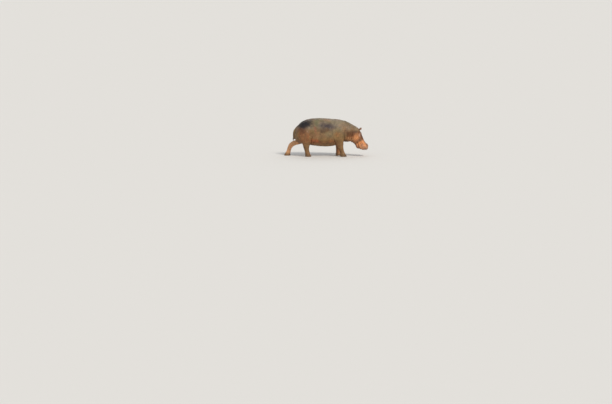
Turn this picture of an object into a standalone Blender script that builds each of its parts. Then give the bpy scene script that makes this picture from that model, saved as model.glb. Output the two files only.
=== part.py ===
"""Common hippopotamus, walking with its head low. Life size, in metres, +Z up.

It faces -Y, so its right side is at -X. The floor is z = 0, and the origin lies
on the floor under the middle of its overall box.

The body is described in the animal's own directions: s is sideways, positive to
its left, f is forward and z is up. Its masses (barrel, neck, skull, muzzle, jaw,
legs, feet) are lofts and ellipsoids, fused into one body, smoothed, and then
parted with thin cuts into the pieces that a person would name.
"""

import math

import bmesh
import bpy
import numpy as np
from mathutils import Matrix, Vector

# ------------------------------------------------------------------ dimensions
ORIGIN_F = 0.233  # forward distance from the middle of the barrel to the origin
BACK_HEIGHT = 1.448  # floor to the highest point of the back
BELLY_HEIGHT = 0.366  # floor to the lowest point of the belly
BARREL_HALF_WIDTH = 0.468
BARREL_MID = 0.79  # height at which the barrel is widest
RUMP_F = -0.958  # rear end of the rump

HEAD_F, HEAD_Z = 1.34, 0.79  # middle of the head, between poll and jaw angle
HEAD_PITCH = -57.4  # degrees, the head's axis from level
HEAD_LENGTH = 0.845  # poll to front of the muzzle
MUZZLE_HALF_WIDTH = 0.232
WAIST_HALF_WIDTH = 0.125  # the narrow part of the face, before the eyes
CHEEK_HALF_WIDTH = 0.205

EYE_RADIUS = 0.0215
EYE_U, EYE_V, EYE_S = 0.050, 0.190, 0.1435  # along the head, above it, sideways
EAR_U, EAR_V, EAR_S = -0.105, 0.262, 0.105
EAR_CUT = 0.046  # from the ear's root to where it is parted from the head
EAR_LENGTH, EAR_WIDTH, EAR_THICK = 0.122, 0.096, 0.020

FORELEG_S = 0.265
HINDLEG_S = 0.262
FORE_RIGHT_F, FORE_LEFT_F = 0.875, 0.705  # where the fore feet stand
HIND_RIGHT_F, HIND_LEFT_F = -0.465, -1.260  # where the hind feet stand

TOE_ANGLES = (-56, -19, 19, 56)  # degrees from straight ahead
NAIL_SIZE = (0.0235, 0.013, 0.022)  # half width, half depth, half height

VOXEL = 0.012  # grid on which the masses are fused
SMOOTHING = 60  # rounds, at that grid, over the joins between them
GAP = 0.0004  # between neighbouring pieces
FLESH_TRIANGLES = 3900
DETAIL_COST = 0.0002  # how strongly the head and feet hold on to theirs
RING_POINTS = 40

COLOURS = {
    "hide": (0.21, 0.145, 0.095, 1.0),
    "face": (0.36, 0.19, 0.115, 1.0),
    "leg": (0.25, 0.15, 0.085, 1.0),
    "horn": (0.11, 0.075, 0.05, 1.0),
    "eye": (0.035, 0.02, 0.012, 1.0),
}

# ------------------------------------------------------------------ frame


def world(s, f, z):
    return Vector((s, ORIGIN_F - f, z))


def pitched(pitch):
    """Forward and up directions (f, z) of a frame turned up by pitch degrees."""
    t = math.radians(pitch)
    return (math.cos(t), math.sin(t)), (-math.sin(t), math.cos(t))


HEAD_AXIS, HEAD_UP = pitched(HEAD_PITCH)


def head(u, v, s=0.0):
    """(s, f, z) of a point u along the head's axis, v above it and s sideways."""
    return (
        s,
        HEAD_F + u * HEAD_AXIS[0] + v * HEAD_UP[0],
        HEAD_Z + u * HEAD_AXIS[1] + v * HEAD_UP[1],
    )


# ------------------------------------------------------------------ mass makers


def monotone(t, rows, at):
    """Cubic through the rows that never overshoots them."""
    t, rows, at = np.asarray(t), np.asarray(rows, float), np.asarray(at)
    h = np.diff(t)[:, None]
    d = np.diff(rows, axis=0) / h
    m = np.empty_like(rows)
    m[0], m[-1] = d[0], d[-1]
    both = d[:-1] * d[1:]
    total = d[:-1] + d[1:]
    m[1:-1] = np.where(both > 0, 2 * both / np.where(total == 0, 1, total), 0)
    k = np.clip(np.searchsorted(t, at, side="right") - 1, 0, len(t) - 2)
    x = ((at - t[k]) / h[k, 0])[:, None]
    return (
        (1 + 2 * x) * (1 - x) ** 2 * rows[k]
        + x * (1 - x) ** 2 * h[k] * m[k]
        + x**2 * (3 - 2 * x) * rows[k + 1]
        + x**2 * (x - 1) * h[k] * m[k + 1]
    )


def mass_object(name, bm):
    bmesh.ops.recalc_face_normals(bm, faces=bm.faces)
    mesh = bpy.data.meshes.new(name)
    bm.to_mesh(mesh)
    bm.free()
    obj = bpy.data.objects.new(name, mesh)
    bpy.context.scene.collection.objects.link(obj)
    return obj


def loft(name, stations, rings=48):
    """A closed tube through sections. Each station is its centre s, f, z, the
    pitch of its normal, its half width, its reach above and below the centre,
    and the squareness of its upper and lower half."""
    rows = np.asarray(stations, float)
    key = rows[:, [0, 1, 2, 4, 5, 6]]
    t = np.concatenate([[0], np.cumsum(np.linalg.norm(np.diff(key, axis=0), axis=1))])
    rows = monotone(t, rows, np.linspace(0, t[-1], rings))
    bm = bmesh.new()
    loops = []
    for s, f, z, pitch, half, above, below, square_up, square_down in rows:
        _, up = pitched(pitch)
        loop = []
        for i in range(RING_POINTS):
            angle = 2 * math.pi * i / RING_POINTS
            c, d = math.cos(angle), math.sin(angle)
            power = 2 / (square_up if d >= 0 else square_down)
            a = half * math.copysign(abs(c) ** power, c)
            b = (above if d >= 0 else below) * math.copysign(abs(d) ** power, d)
            loop.append(bm.verts.new(world(s + a, f + b * up[0], z + b * up[1])))
        loops.append(loop)
    for first, second in zip(loops, loops[1:]):
        for i in range(RING_POINTS):
            j = (i + 1) % RING_POINTS
            bm.faces.new((first[i], first[j], second[j], second[i]))
    bm.faces.new(loops[0])
    bm.faces.new(reversed(loops[-1]))
    return mass_object(name, bm)


def ellipsoid(name, centre, radii, pitch=0.0, yaw=0.0, segments=24):
    """radii are sideways, along the pitched forward direction, and above it. yaw
    turns the mass to the animal's left, in degrees."""
    bm = bmesh.new()
    bmesh.ops.create_uvsphere(bm, u_segments=segments, v_segments=segments * 2 // 3, radius=1.0)
    size = Matrix.Diagonal((radii[0], radii[1], radii[2], 1.0))
    # In world axes forward is -Y: a pitch up turns about -X, a yaw left about +Z.
    turn = Matrix.Rotation(math.radians(yaw), 4, "Z") @ Matrix.Rotation(math.radians(-pitch), 4, "X")
    bmesh.ops.transform(bm, matrix=Matrix.Translation(world(*centre)) @ turn @ size, verts=bm.verts)
    return mass_object(name, bm)


def both_sides(make, name, centre, *rest, **more):
    s, f, z = centre
    yaw = more.pop("yaw", 0.0)
    return [
        make(name + "_left", (s, f, z), *rest, yaw=yaw, **more),
        make(name + "_right", (-s, f, z), *rest, yaw=-yaw, **more),
    ]


# ------------------------------------------------------------------ the masses


def trunk_masses():
    # forward place, back, belly, half width, height of the widest point
    sections = (
        (RUMP_F, 0.92, 0.70, 0.08, 0.81),
        (RUMP_F + 0.030, 1.03, 0.59, 0.205, 0.82),
        (-0.86, 1.150, 0.52, 0.320, 0.83),
        (-0.73, 1.285, 0.475, 0.395, 0.83),
        (-0.54, 1.383, 0.445, 0.425, 0.82),
        (-0.27, 1.436, 0.408, 0.444, 0.80),
        (0.00, BACK_HEIGHT, 0.374, 0.463, BARREL_MID),
        (0.20, 1.441, BELLY_HEIGHT, BARREL_HALF_WIDTH, BARREL_MID),
        (0.38, 1.425, 0.373, 0.460, BARREL_MID),
        (0.58, 1.411, 0.408, 0.430, 0.80),
        (0.76, 1.390, 0.480, 0.385, 0.83),
        (0.92, 1.325, 0.575, 0.318, 0.87),
        (1.06, 1.20, 0.68, 0.235, 0.91),
        (1.16, 1.07, 0.78, 0.130, 0.92),
    )
    barrel = loft(
        "barrel",
        [(0, f, mid, 0, half, top - mid, mid - low, 2.15, 2.1) for f, top, low, half, mid in sections],
        rings=64,
    )
    neck = loft(
        "neck_mass",
        (
            (0, 0.62, 0.93, -8, 0.350, 0.44, 0.44, 2.1, 2.1),
            (0, 0.82, 0.935, -14, 0.325, 0.433, 0.41, 2.1, 2.1),
            (0, 1.00, 0.90, -20, 0.292, 0.385, 0.352, 2.1, 2.2),
            (0, 1.15, 0.86, -26, 0.268, 0.348, 0.358, 2.1, 2.3),
            (0, 1.28, 0.82, -36, 0.248, 0.310, 0.345, 2.1, 2.3),
            (0, 1.37, 0.76, -48, 0.225, 0.245, 0.270, 2.1, 2.3),
        ),
        rings=32,
    )
    # The hip and shoulder muscles, and the flesh over the shoulder blade.
    parts = [barrel, neck]
    parts += both_sides(ellipsoid, "shoulder", (0.215, 0.72, 0.86), (0.190, 0.25, 0.38), pitch=-6)
    parts += both_sides(ellipsoid, "haunch", (0.235, -0.60, 0.86), (0.19, 0.31, 0.36), pitch=-10)
    return parts


def head_masses():
    def sections(rows, square):
        out = []
        for u, top, low, half, mid in rows:
            s, f, z = head(u, mid)
            out.append((s, f, z, HEAD_PITCH, half, top - mid, mid - low, *square))
        return out

    waist = WAIST_HALF_WIDTH
    wide = MUZZLE_HALF_WIDTH
    cheek = CHEEK_HALF_WIDTH
    # place along the head, top, bottom, half width, level of the widest point
    skull = loft(
        "skull",
        sections(
            (
                (-0.25, 0.17, -0.08, 0.10, 0.05),
                (-0.19, 0.235, -0.15, 0.160, 0.05),
                (-0.11, 0.262, -0.19, 0.182, 0.04),
                (-0.02, 0.250, -0.20, 0.178, 0.03),
                (0.07, 0.234, -0.20, 0.160, 0.02),
                (0.16, 0.214, -0.19, waist + 0.014, 0.02),
                (0.25, 0.194, -0.17, waist, 0.02),
                (0.34, 0.182, -0.15, waist + 0.012, 0.03),
                (0.44, 0.180, -0.12, 0.165, 0.04),
                (0.53, 0.176, -0.10, 0.185, 0.04),
                (0.60, 0.150, -0.06, 0.160, 0.05),
            ),
            (2.3, 2.2),
        ),
    )
    muzzle = loft(
        "muzzle",
        sections(
            (
                (0.25, 0.14, -0.08, 0.085, 0.03),
                (0.31, 0.165, -0.105, 0.135, 0.03),
                (0.39, 0.180, -0.125, wide - 0.038, 0.025),
                (0.47, 0.190, -0.132, wide - 0.009, 0.02),
                (0.54, 0.194, -0.110, wide, 0.030),
                (0.590, 0.190, -0.070, wide - 0.008, 0.045),
                (0.632, 0.176, -0.024, wide - 0.028, 0.062),
                (0.664, 0.152, 0.020, wide - 0.060, 0.078),
                (0.687, 0.122, 0.058, wide - 0.112, 0.090),
            ),
            (2.7, 2.6),
        ),
    )
    jaw = loft(
        "jaw",
        sections(
            (
                (-0.13, -0.02, -0.185, 0.12, -0.09),
                (-0.05, 0.02, -0.238, cheek - 0.025, -0.10),
                (0.05, 0.02, -0.258, cheek - 0.004, -0.11),
                (0.14, 0.00, -0.248, cheek - 0.008, -0.12),
                (0.22, -0.02, -0.208, 0.176, -0.12),
                (0.31, -0.04, -0.196, 0.166, -0.12),
                (0.40, -0.05, -0.200, 0.178, -0.12),
                (0.47, -0.05, -0.180, 0.184, -0.11),
                (0.53, -0.04, -0.136, 0.168, -0.08),
                (0.58, -0.02, -0.080, 0.130, -0.05),
            ),
            (2.2, 2.5),
        ),
    )
    tip = HEAD_PITCH
    parts = [skull, muzzle, jaw]
    parts += both_sides(ellipsoid, "cheek", head(-0.01, -0.01, 0.118), (0.086, 0.215, 0.200), pitch=tip + 6)
    parts += both_sides(ellipsoid, "mouth_corner", head(0.175, -0.075, 0.095), (0.082, 0.150, 0.115), pitch=tip, yaw=4)
    parts += both_sides(ellipsoid, "cheekbone", head(0.030, 0.115, 0.098), (0.062, 0.165, 0.085), pitch=tip - 6, yaw=4)
    parts += both_sides(ellipsoid, "brow", head(0.046, 0.196, 0.113), (0.045, 0.078, 0.056), pitch=tip, yaw=8)
    parts += both_sides(ellipsoid, "brow_ridge", head(-0.03, 0.195, 0.100), (0.040, 0.110, 0.050), pitch=tip, yaw=3)
    parts += both_sides(ellipsoid, "nostril_mound", head(0.555, 0.165, 0.083), (0.057, 0.080, 0.043), pitch=tip)
    parts += both_sides(ellipsoid, "lip_bulge", head(0.49, -0.02, 0.164), (0.078, 0.130, 0.128), pitch=tip)
    parts += both_sides(ellipsoid, "ear_root", head(EAR_U, EAR_V - 0.020, EAR_S), (0.034, 0.037, 0.066), pitch=tip)
    return parts


def legs():
    """Each leg's stations from shoulder or hip to sole: f, z, pitch, half width,
    reach forward and reach back."""
    sole = -0.03
    fore_right = (
        (0.720, 0.84, -90, 0.13, 0.20, 0.22),
        (0.738, 0.66, -90, 0.135, 0.180, 0.190),
        (0.758, 0.50, -88, 0.124, 0.146, 0.158),
        (0.788, 0.37, -84, 0.106, 0.110, 0.122),
        (0.822, 0.245, -80, 0.092, 0.089, 0.096),
        (0.848, 0.150, -80, 0.092, 0.090, 0.094),
        (0.872, 0.070, -85, 0.103, 0.102, 0.100),
        (0.880, sole, -90, 0.106, 0.106, 0.102),
    )
    fore_left = (
        (0.720, 0.84, -90, 0.13, 0.20, 0.22),
        (0.722, 0.66, -92, 0.135, 0.180, 0.190),
        (0.716, 0.50, -94, 0.124, 0.146, 0.158),
        (0.708, 0.37, -94, 0.106, 0.110, 0.122),
        (0.699, 0.245, -92, 0.092, 0.089, 0.096),
        (0.698, 0.150, -90, 0.092, 0.090, 0.094),
        (0.704, 0.070, -88, 0.103, 0.102, 0.100),
        (0.709, sole, -90, 0.106, 0.106, 0.102),
    )
    hind_right = (
        (-0.600, 0.92, -90, 0.13, 0.24, 0.25),
        (-0.580, 0.76, -88, 0.150, 0.240, 0.232),
        (-0.540, 0.62, -88, 0.142, 0.198, 0.192),
        (-0.520, 0.49, -92, 0.122, 0.150, 0.148),
        (-0.522, 0.375, -94, 0.101, 0.118, 0.130),
        (-0.500, 0.240, -84, 0.087, 0.094, 0.099),
        (-0.480, 0.145, -82, 0.089, 0.095, 0.096),
        (-0.465, 0.065, -86, 0.100, 0.104, 0.102),
        (-0.460, sole, -90, 0.103, 0.107, 0.104),
    )
    hind_left = (
        (-0.590, 0.94, -92, 0.13, 0.24, 0.25),
        (-0.610, 0.79, -104, 0.150, 0.240, 0.220),
        (-0.660, 0.650, -122, 0.146, 0.190, 0.185),
        (-0.745, 0.560, -144, 0.126, 0.138, 0.142),
        (-0.865, 0.505, -157, 0.106, 0.102, 0.106),
        (-1.000, 0.462, -153, 0.097, 0.096, 0.100),
        (-1.102, 0.388, -132, 0.092, 0.098, 0.104),
        (-1.160, 0.292, -108, 0.086, 0.088, 0.090),
        (-1.186, 0.200, -101, 0.083, 0.084, 0.083),
        (-1.212, 0.120, -104, 0.088, 0.090, 0.086),
        (-1.244, 0.055, -98, 0.099, 0.106, 0.098),
        (-1.260, sole, -90, 0.102, 0.106, 0.098),
    )
    out = []
    for name, rows, side in (
        ("foreleg_right", fore_right, -FORELEG_S),
        ("foreleg_left", fore_left, FORELEG_S),
        ("hindleg_right", hind_right, -HINDLEG_S),
        ("hindleg_left", hind_left, HINDLEG_S),
    ):
        top = rows[0][1]
        stations = []
        for f, z, pitch, half, ahead, behind in rows:
            inward = 0.035 * max(0.0, (z - 0.45) / (top - 0.45)) * math.copysign(1, side)
            stations.append((side - inward, f, z, pitch, half, ahead, behind, 2.0, 2.0))
        out.append(loft(name + "_mass", stations, rings=40))
    # The point of the hock stands out behind each hind leg.
    out.append(ellipsoid("hock_right", (-HINDLEG_S, -0.590, 0.385), (0.042, 0.055, 0.075), pitch=10))
    out.append(ellipsoid("hock_left", (HINDLEG_S, -1.140, 0.440), (0.042, 0.058, 0.064), pitch=-40))
    return out


FEET = {
    "fore_right": (-FORELEG_S, FORE_RIGHT_F, 1.00),
    "fore_left": (FORELEG_S, FORE_LEFT_F, 1.00),
    "hind_right": (-HINDLEG_S, HIND_RIGHT_F, 0.96),
    "hind_left": (HINDLEG_S, HIND_LEFT_F, 0.96),
}


def toe_place(foot, index):
    """Centre and outward heading of a toe. The middle two reach further ahead."""
    s, f, size = FEET[foot]
    angle = TOE_ANGLES[index]
    turn = math.radians(angle)
    reach = (0.078 if abs(angle) > 40 else 0.086) * size
    outward = angle * 0.55
    return (s + math.sin(turn) * reach, f + 0.004 + math.cos(turn) * reach, 0.030), outward


def feet():
    out = []
    for foot, (s, f, size) in FEET.items():
        out.append(ellipsoid(f"pad_{foot}", (s, f - 0.005, 0.028), (0.104 * size, 0.108 * size, 0.050)))
        for i in range(4):
            centre, heading = toe_place(foot, i)
            out.append(
                ellipsoid(f"toe_{foot}_{i}", centre, (0.037 * size, 0.052 * size, 0.046), pitch=-12, yaw=heading)
            )
    return out


def tail_mass():
    """Flattened from side to side, hanging close behind the rump."""
    return loft(
        "tail_mass",
        (
            (0, -0.850, 1.120, -125, 0.056, 0.055, 0.055, 2, 2),
            (0, -0.925, 1.045, -122, 0.053, 0.050, 0.046, 2, 2),
            (0, -0.975, 0.960, -108, 0.045, 0.046, 0.037, 2, 2),
            (0, -0.995, 0.860, -96, 0.036, 0.044, 0.036, 2, 2),
            (0, -1.000, 0.760, -91, 0.028, 0.042, 0.037, 2, 2),
            (0, -1.000, 0.670, -88, 0.021, 0.040, 0.038, 2, 2),
            (0, -0.998, 0.610, -88, 0.014, 0.030, 0.030, 2, 2),
            (0, -0.996, 0.580, -88, 0.008, 0.016, 0.016, 2, 2),
        ),
        rings=24,
    )


# Bone and muscle under the hide. On the body: sideways place, forward place,
# height, reach each way, and how far the form stands out or sinks in.
BODY_FORMS = (
    (0.36, 0.79, 1.00, 0.22, 0.12, 0.24, 0.020),  # shoulder blade
    (0.36, 0.555, 0.86, 0.25, 0.075, 0.28, -0.022),  # hollow behind the shoulder
    (0.34, 0.75, 0.70, 0.20, 0.15, 0.14, 0.020),  # upper arm
    (0.46, 0.10, 0.60, 0.25, 0.40, 0.18, 0.014),  # ribs and belly
    (0.44, 0.28, 1.00, 0.22, 0.22, 0.18, -0.010),
    (0.42, -0.36, 0.80, 0.22, 0.085, 0.26, -0.030),  # hollow of the flank
    (0.34, -0.55, 1.05, 0.22, 0.14, 0.15, 0.020),  # point of the hip
    (0.36, -0.62, 0.70, 0.16, 0.16, 0.16, 0.018),  # thigh
    (0.30, -0.88, 0.80, 0.16, 0.10, 0.20, 0.020),  # seat bone
    (0.22, -0.80, 1.10, 0.12, 0.10, 0.09, -0.013),
    (0.20, 1.02, 1.12, 0.16, 0.09, 0.14, -0.012),  # before the withers
)
# On the head: places u, v and s in its frame, reach each way, and height.
HEAD_FORMS = (
    (0.165, 0.075, 0.140, 0.085, 0.085, 0.060, -0.014),  # hollow before the eye
    (0.000, 0.100, 0.190, 0.100, 0.060, 0.060, 0.008),  # cheekbone
    (0.085, -0.130, 0.190, 0.120, 0.080, 0.080, 0.012),  # jowl
    (0.440, -0.190, 0.100, 0.080, 0.050, 0.100, 0.012),  # chin
    (0.500, 0.060, 0.210, 0.090, 0.080, 0.050, 0.008),  # whisker pad
    (0.280, 0.100, 0.130, 0.060, 0.050, 0.060, 0.006),
)


# ------------------------------------------------------------------ fusing


def read_mesh(mesh):
    points = np.empty(len(mesh.vertices) * 3)
    mesh.vertices.foreach_get("co", points)
    edges = np.empty(len(mesh.edges) * 2, int)
    mesh.edges.foreach_get("vertices", edges)
    return points.reshape(-1, 3), edges.reshape(-1, 2)


def relax(points, edges, weight, rounds):
    """Moves each point part of the way to the mean of its neighbours."""
    a, b = edges[:, 0], edges[:, 1]
    count = len(points)
    degree = np.maximum(np.bincount(a, minlength=count) + np.bincount(b, minlength=count), 1)
    for _ in range(rounds):
        mean = np.stack(
            [
                np.bincount(a, points[b, k], count) + np.bincount(b, points[a, k], count)
                for k in range(3)
            ],
            axis=1,
        ) / degree[:, None]
        points = points + (mean - points) * weight[:, None]
    return points


def smoothstep(low, high, x):
    t = np.clip((x - low) / (high - low), 0, 1)
    return t * t * (3 - 2 * t)


def body_coordinates(points):
    """s, f, z, and u, v in the head's frame."""
    s, f, z = points[:, 0], ORIGIN_F - points[:, 1], points[:, 2]
    df, dz = f - HEAD_F, z - HEAD_Z
    u = df * HEAD_AXIS[0] + dz * HEAD_AXIS[1]
    v = df * HEAD_UP[0] + dz * HEAD_UP[1]
    return s, f, z, u, v


def smoothing_weight(points):
    """Most on the barrel and where legs join it, least on the face and the feet."""
    s, f, z, u, v = body_coordinates(points)
    on_head = smoothstep(-0.12, 0.05, u) * smoothstep(1.25, 1.40, f)
    on_foot = 1 - smoothstep(0.09, 0.20, z)
    on_tail = smoothstep(0.975, 1.0, -f) * smoothstep(0.5, 0.55, z)
    return 0.6 * (1 - 0.92 * np.maximum.reduce([on_head, on_foot * (f < 1.2), on_tail]))


def fused(masses, voxel):
    bm = bmesh.new()
    for obj in masses:
        bm.from_mesh(obj.data)
        mesh = obj.data
        bpy.data.objects.remove(obj)
        bpy.data.meshes.remove(mesh)
    body = mass_object("flesh", bm)
    remesh = body.modifiers.new("fuse", "REMESH")
    remesh.mode = "VOXEL"
    remesh.voxel_size = voxel
    graph = bpy.context.evaluated_depsgraph_get()
    mesh = bpy.data.meshes.new_from_object(body.evaluated_get(graph))
    body.modifiers.clear()
    old, body.data = body.data, mesh
    bpy.data.meshes.remove(old)
    points, edges = read_mesh(mesh)
    rounds = max(1, round(SMOOTHING * (0.014 / voxel) ** 2))
    points = relax(points, edges, smoothing_weight(points), rounds)
    mesh.vertices.foreach_set("co", points.ravel())
    mesh.update()
    return body


def muscled(body):
    """Moves the hide out over muscle and bone, and in between them."""
    mesh = body.data
    points, _ = read_mesh(mesh)
    normals = np.empty(len(points) * 3)
    mesh.vertex_normals.foreach_get("vector", normals)
    s, f, z, u, v = body_coordinates(points)
    side = np.abs(s)
    move = np.zeros(len(points))
    for s0, f0, z0, rs, rf, rz, height in BODY_FORMS:
        move += height * np.exp(-(((side - s0) / rs) ** 2) - ((f - f0) / rf) ** 2 - ((z - z0) / rz) ** 2)
    for u0, v0, s0, ru, rv, rs, height in HEAD_FORMS:
        move += height * np.exp(-(((u - u0) / ru) ** 2) - ((v - v0) / rv) ** 2 - ((side - s0) / rs) ** 2) * (f > 0.9)
    # Hollow between the brows, and the furrow under the tail's root.
    move -= 0.012 * np.exp(-((s / 0.045) ** 2) - ((u - 0.04) / 0.10) ** 2) * smoothstep(0.12, 0.20, v) * (f > 1.1)
    move -= 0.014 * np.exp(-((side - 0.055) / 0.022) ** 2) * smoothstep(0.88, 0.95, -f) * smoothstep(0.55, 0.65, z) * (f > -0.975)
    # A faint ridge along the spine, hollow at each side.
    ridge = 0.006 * np.exp(-((s / 0.05) ** 2)) - 0.006 * np.exp(-(((side - 0.13) / 0.06) ** 2))
    move += ridge * smoothstep(1.2, 1.35, z) * (f < 1.35)
    points = points + normals.reshape(-1, 3) * move[:, None]
    mesh.vertices.foreach_set("co", points.ravel())
    mesh.update()
    return body


def make_flesh(voxel=VOXEL):
    masses = trunk_masses() + head_masses() + legs() + feet() + [tail_mass()]
    return muscled(fused(masses, voxel))


# ------------------------------------------------------------------ small pieces


def ear(side):
    """A short cupped leaf, its hollow turned forward and outward."""
    bm = bmesh.new()
    bmesh.ops.create_uvsphere(bm, u_segments=12, v_segments=8, radius=1.0)
    for vert in bm.verts:
        x, y, z = vert.co
        around = math.hypot(x, y)
        fuller = math.sqrt(max(0.0, 1 - z * z)) ** 0.72 / around if around > 1e-4 else 0.0
        x, y = x * fuller, y * min(fuller, 1.25)
        width = EAR_WIDTH / 2 * (1 - 0.24 * max(0.0, -z))
        vert.co = Vector(
            (
                x * width,
                y * (EAR_THICK / 2 + 0.016 * max(0.0, -z)) + 0.34 * width * x * x - 0.006 * z * z,
                (z + 1) * EAR_LENGTH / 2,
            )
        )
    base = world(*head(EAR_U, EAR_V - 0.024, side * EAR_S))
    along = (world(*head(EAR_U - 0.01, EAR_V + 1.0, side * (EAR_S + 0.30))) - base).normalized()
    opening = world(*head(EAR_U + 0.80, EAR_V, side * (EAR_S + 0.62))) - base
    across = opening.cross(along).normalized()
    opening = along.cross(across)
    turn = Matrix((across, opening, along)).transposed().to_4x4()
    bmesh.ops.transform(bm, matrix=Matrix.Translation(base) @ turn, verts=bm.verts)
    return mass_object("ear_shape", bm), base, turn


def eyeball(side, radius):
    bm = bmesh.new()
    bmesh.ops.create_uvsphere(bm, u_segments=12, v_segments=8, radius=radius)
    bmesh.ops.translate(bm, vec=world(*head(EYE_U, EYE_V, side * EYE_S)), verts=bm.verts)
    return mass_object("eye_shape", bm)


def nail(foot, index, grow):
    size = FEET[foot][2] * (1.0 if abs(TOE_ANGLES[index]) < 40 else 0.88)
    (s, f, z), heading = toe_place(foot, index)
    turn = math.radians(heading)
    reach = 0.042 * FEET[foot][2]
    place = (s + math.sin(turn) * reach, f + math.cos(turn) * reach, 0.026 * size)
    radii = [r * size + grow for r in NAIL_SIZE]
    return ellipsoid("nail_shape", place, radii, pitch=18, yaw=heading, segments=8)


# ------------------------------------------------------------------ parting


def evaluated_copy(obj):
    graph = bpy.context.evaluated_depsgraph_get()
    return bpy.data.meshes.new_from_object(obj.evaluated_get(graph))


def boolean(obj, cutter, operation):
    """obj's mesh becomes its Boolean with the cutter."""
    modifier = obj.modifiers.new(operation.lower(), "BOOLEAN")
    modifier.operation = operation
    modifier.solver = "EXACT"
    modifier.object = cutter
    mesh = evaluated_copy(obj)
    obj.modifiers.clear()
    old, obj.data = obj.data, mesh
    bpy.data.meshes.remove(old)


def keep_as_cutter(cutter):
    for collection in list(cutter.users_collection):
        collection.objects.unlink(cutter)
    CUTTERS.objects.link(cutter)
    cutter.hide_render = True
    cutter.display_type = "WIRE"


def grown(obj, amount):
    """A copy of a cutter whose faces stand further out."""
    bm = bmesh.new()
    bm.from_mesh(obj.data)
    bm.normal_update()
    moves = [(vert, vert.normal * amount) for vert in bm.verts]
    for vert, move in moves:
        vert.co += move
    return mass_object(obj.name + "_kerf", bm)


def parted(flesh, name, cutter, material):
    """Takes the piece inside the cutter off the flesh, with a thin gap between."""
    piece = bpy.data.objects.new(name, flesh.data.copy())
    BODY.objects.link(piece)
    cutter.name = "cut_" + name
    boolean(piece, cutter, "INTERSECT")
    kerf = grown(cutter, GAP * 1.8)
    boolean(flesh, kerf, "DIFFERENCE")
    keep_as_cutter(cutter)
    bpy.data.objects.remove(kerf)
    finish(piece, material)
    return piece


def finish(piece, colour):
    tidy = bmesh.new()
    tidy.from_mesh(piece.data)
    bmesh.ops.triangulate(tidy, faces=tidy.faces)
    bmesh.ops.remove_doubles(tidy, verts=tidy.verts, dist=0.00005)
    tidy.to_mesh(piece.data)
    tidy.free()
    material = bpy.data.materials.new(piece.name)
    material.use_nodes = True
    shader = material.node_tree.nodes["Principled BSDF"]
    shader.inputs["Base Color"].default_value = COLOURS[colour]
    shader.inputs["Roughness"].default_value = {"eye": 0.1, "horn": 0.5}.get(colour, 0.62)
    shader.inputs["Metallic"].default_value = 0.0
    material.diffuse_color = COLOURS[colour]
    piece.data.materials.clear()
    piece.data.materials.append(material)
    piece.data.shade_smooth()
    piece.data.set_sharp_from_angle(angle=math.radians(50))


def block(points):
    """A closed block from four points of its lower face and four of its upper."""
    bm = bmesh.new()
    verts = [bm.verts.new(world(*p)) for p in points]
    low, high = verts[:4], verts[4:]
    bm.faces.new(low)
    bm.faces.new(reversed(high))
    for i in range(4):
        j = (i + 1) % 4
        bm.faces.new((low[j], low[i], high[i], high[j]))
    return mass_object("block", bm)


def prism(outline, low_s, high_s):
    """A flat outline of (f, z) points, drawn out sideways."""
    bm = bmesh.new()
    near = [bm.verts.new(world(low_s, f, z)) for f, z in outline]
    far = [bm.verts.new(world(high_s, f, z)) for f, z in outline]
    bm.faces.new(near)
    bm.faces.new(reversed(far))
    for i in range(len(outline)):
        j = (i + 1) % len(outline)
        bm.faces.new((near[j], near[i], far[i], far[j]))
    return mass_object("prism", bm)


def leg_block(side, rear, front, inner_top, outer_top):
    inner, outer = side * 0.118, side * 0.62
    return block(
        (
            (inner, rear, -0.2),
            (outer, rear, -0.2),
            (outer, front, -0.2),
            (inner, front, -0.2),
            (inner, rear, inner_top),
            (outer, rear, outer_top),
            (outer, front, outer_top),
            (inner, front, inner_top),
        )
    )


def foot_block(side, rear, front):
    return prism(((rear, -0.2), (front, -0.2), (front, 0.132), (rear, 0.132)), side * 0.08, side * 0.55)


def mouth_outline():
    """The lower jaw's outline: along the lips to the corner of the mouth, then
    down to the throat."""
    line = ((0.80, -0.020), (0.66, -0.052), (0.60, -0.088), (0.52, -0.118), (0.43, -0.112), (0.34, -0.088), (0.235, -0.062))
    below = ((0.150, -0.40), (0.80, -0.40))
    return [head(u, v)[1:] for u, v in line + below]


def decimated(obj, triangles):
    """Fewer triangles, most of them kept on the head and the feet."""
    points, _ = read_mesh(obj.data)
    s, f, z, u, v = body_coordinates(points)
    fine = np.maximum(smoothstep(-0.20, 0.05, u) * (f > 1.15), 0.8 * (1 - smoothstep(0.10, 0.20, z)) * (f < 1.15))
    fine = np.maximum(fine, 0.5 * (f < -0.96))
    group = obj.vertex_groups.new(name="free")
    for level in range(11):
        chosen = np.nonzero(np.round((1 - 0.8 * fine) * 10).astype(int) == level)[0]
        group.add([int(i) for i in chosen], level / 10, "REPLACE")
    obj.data.calc_loop_triangles()
    modifier = obj.modifiers.new("decimate", "DECIMATE")
    modifier.ratio = triangles / len(obj.data.loop_triangles)
    modifier.vertex_group = "free"
    modifier.vertex_group_factor = DETAIL_COST
    modifier.use_collapse_triangulate = True
    mesh = evaluated_copy(obj)
    obj.modifiers.clear()
    obj.vertex_groups.clear()
    old, obj.data = obj.data, mesh
    bpy.data.meshes.remove(old)


# ------------------------------------------------------------------ the model


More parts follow.
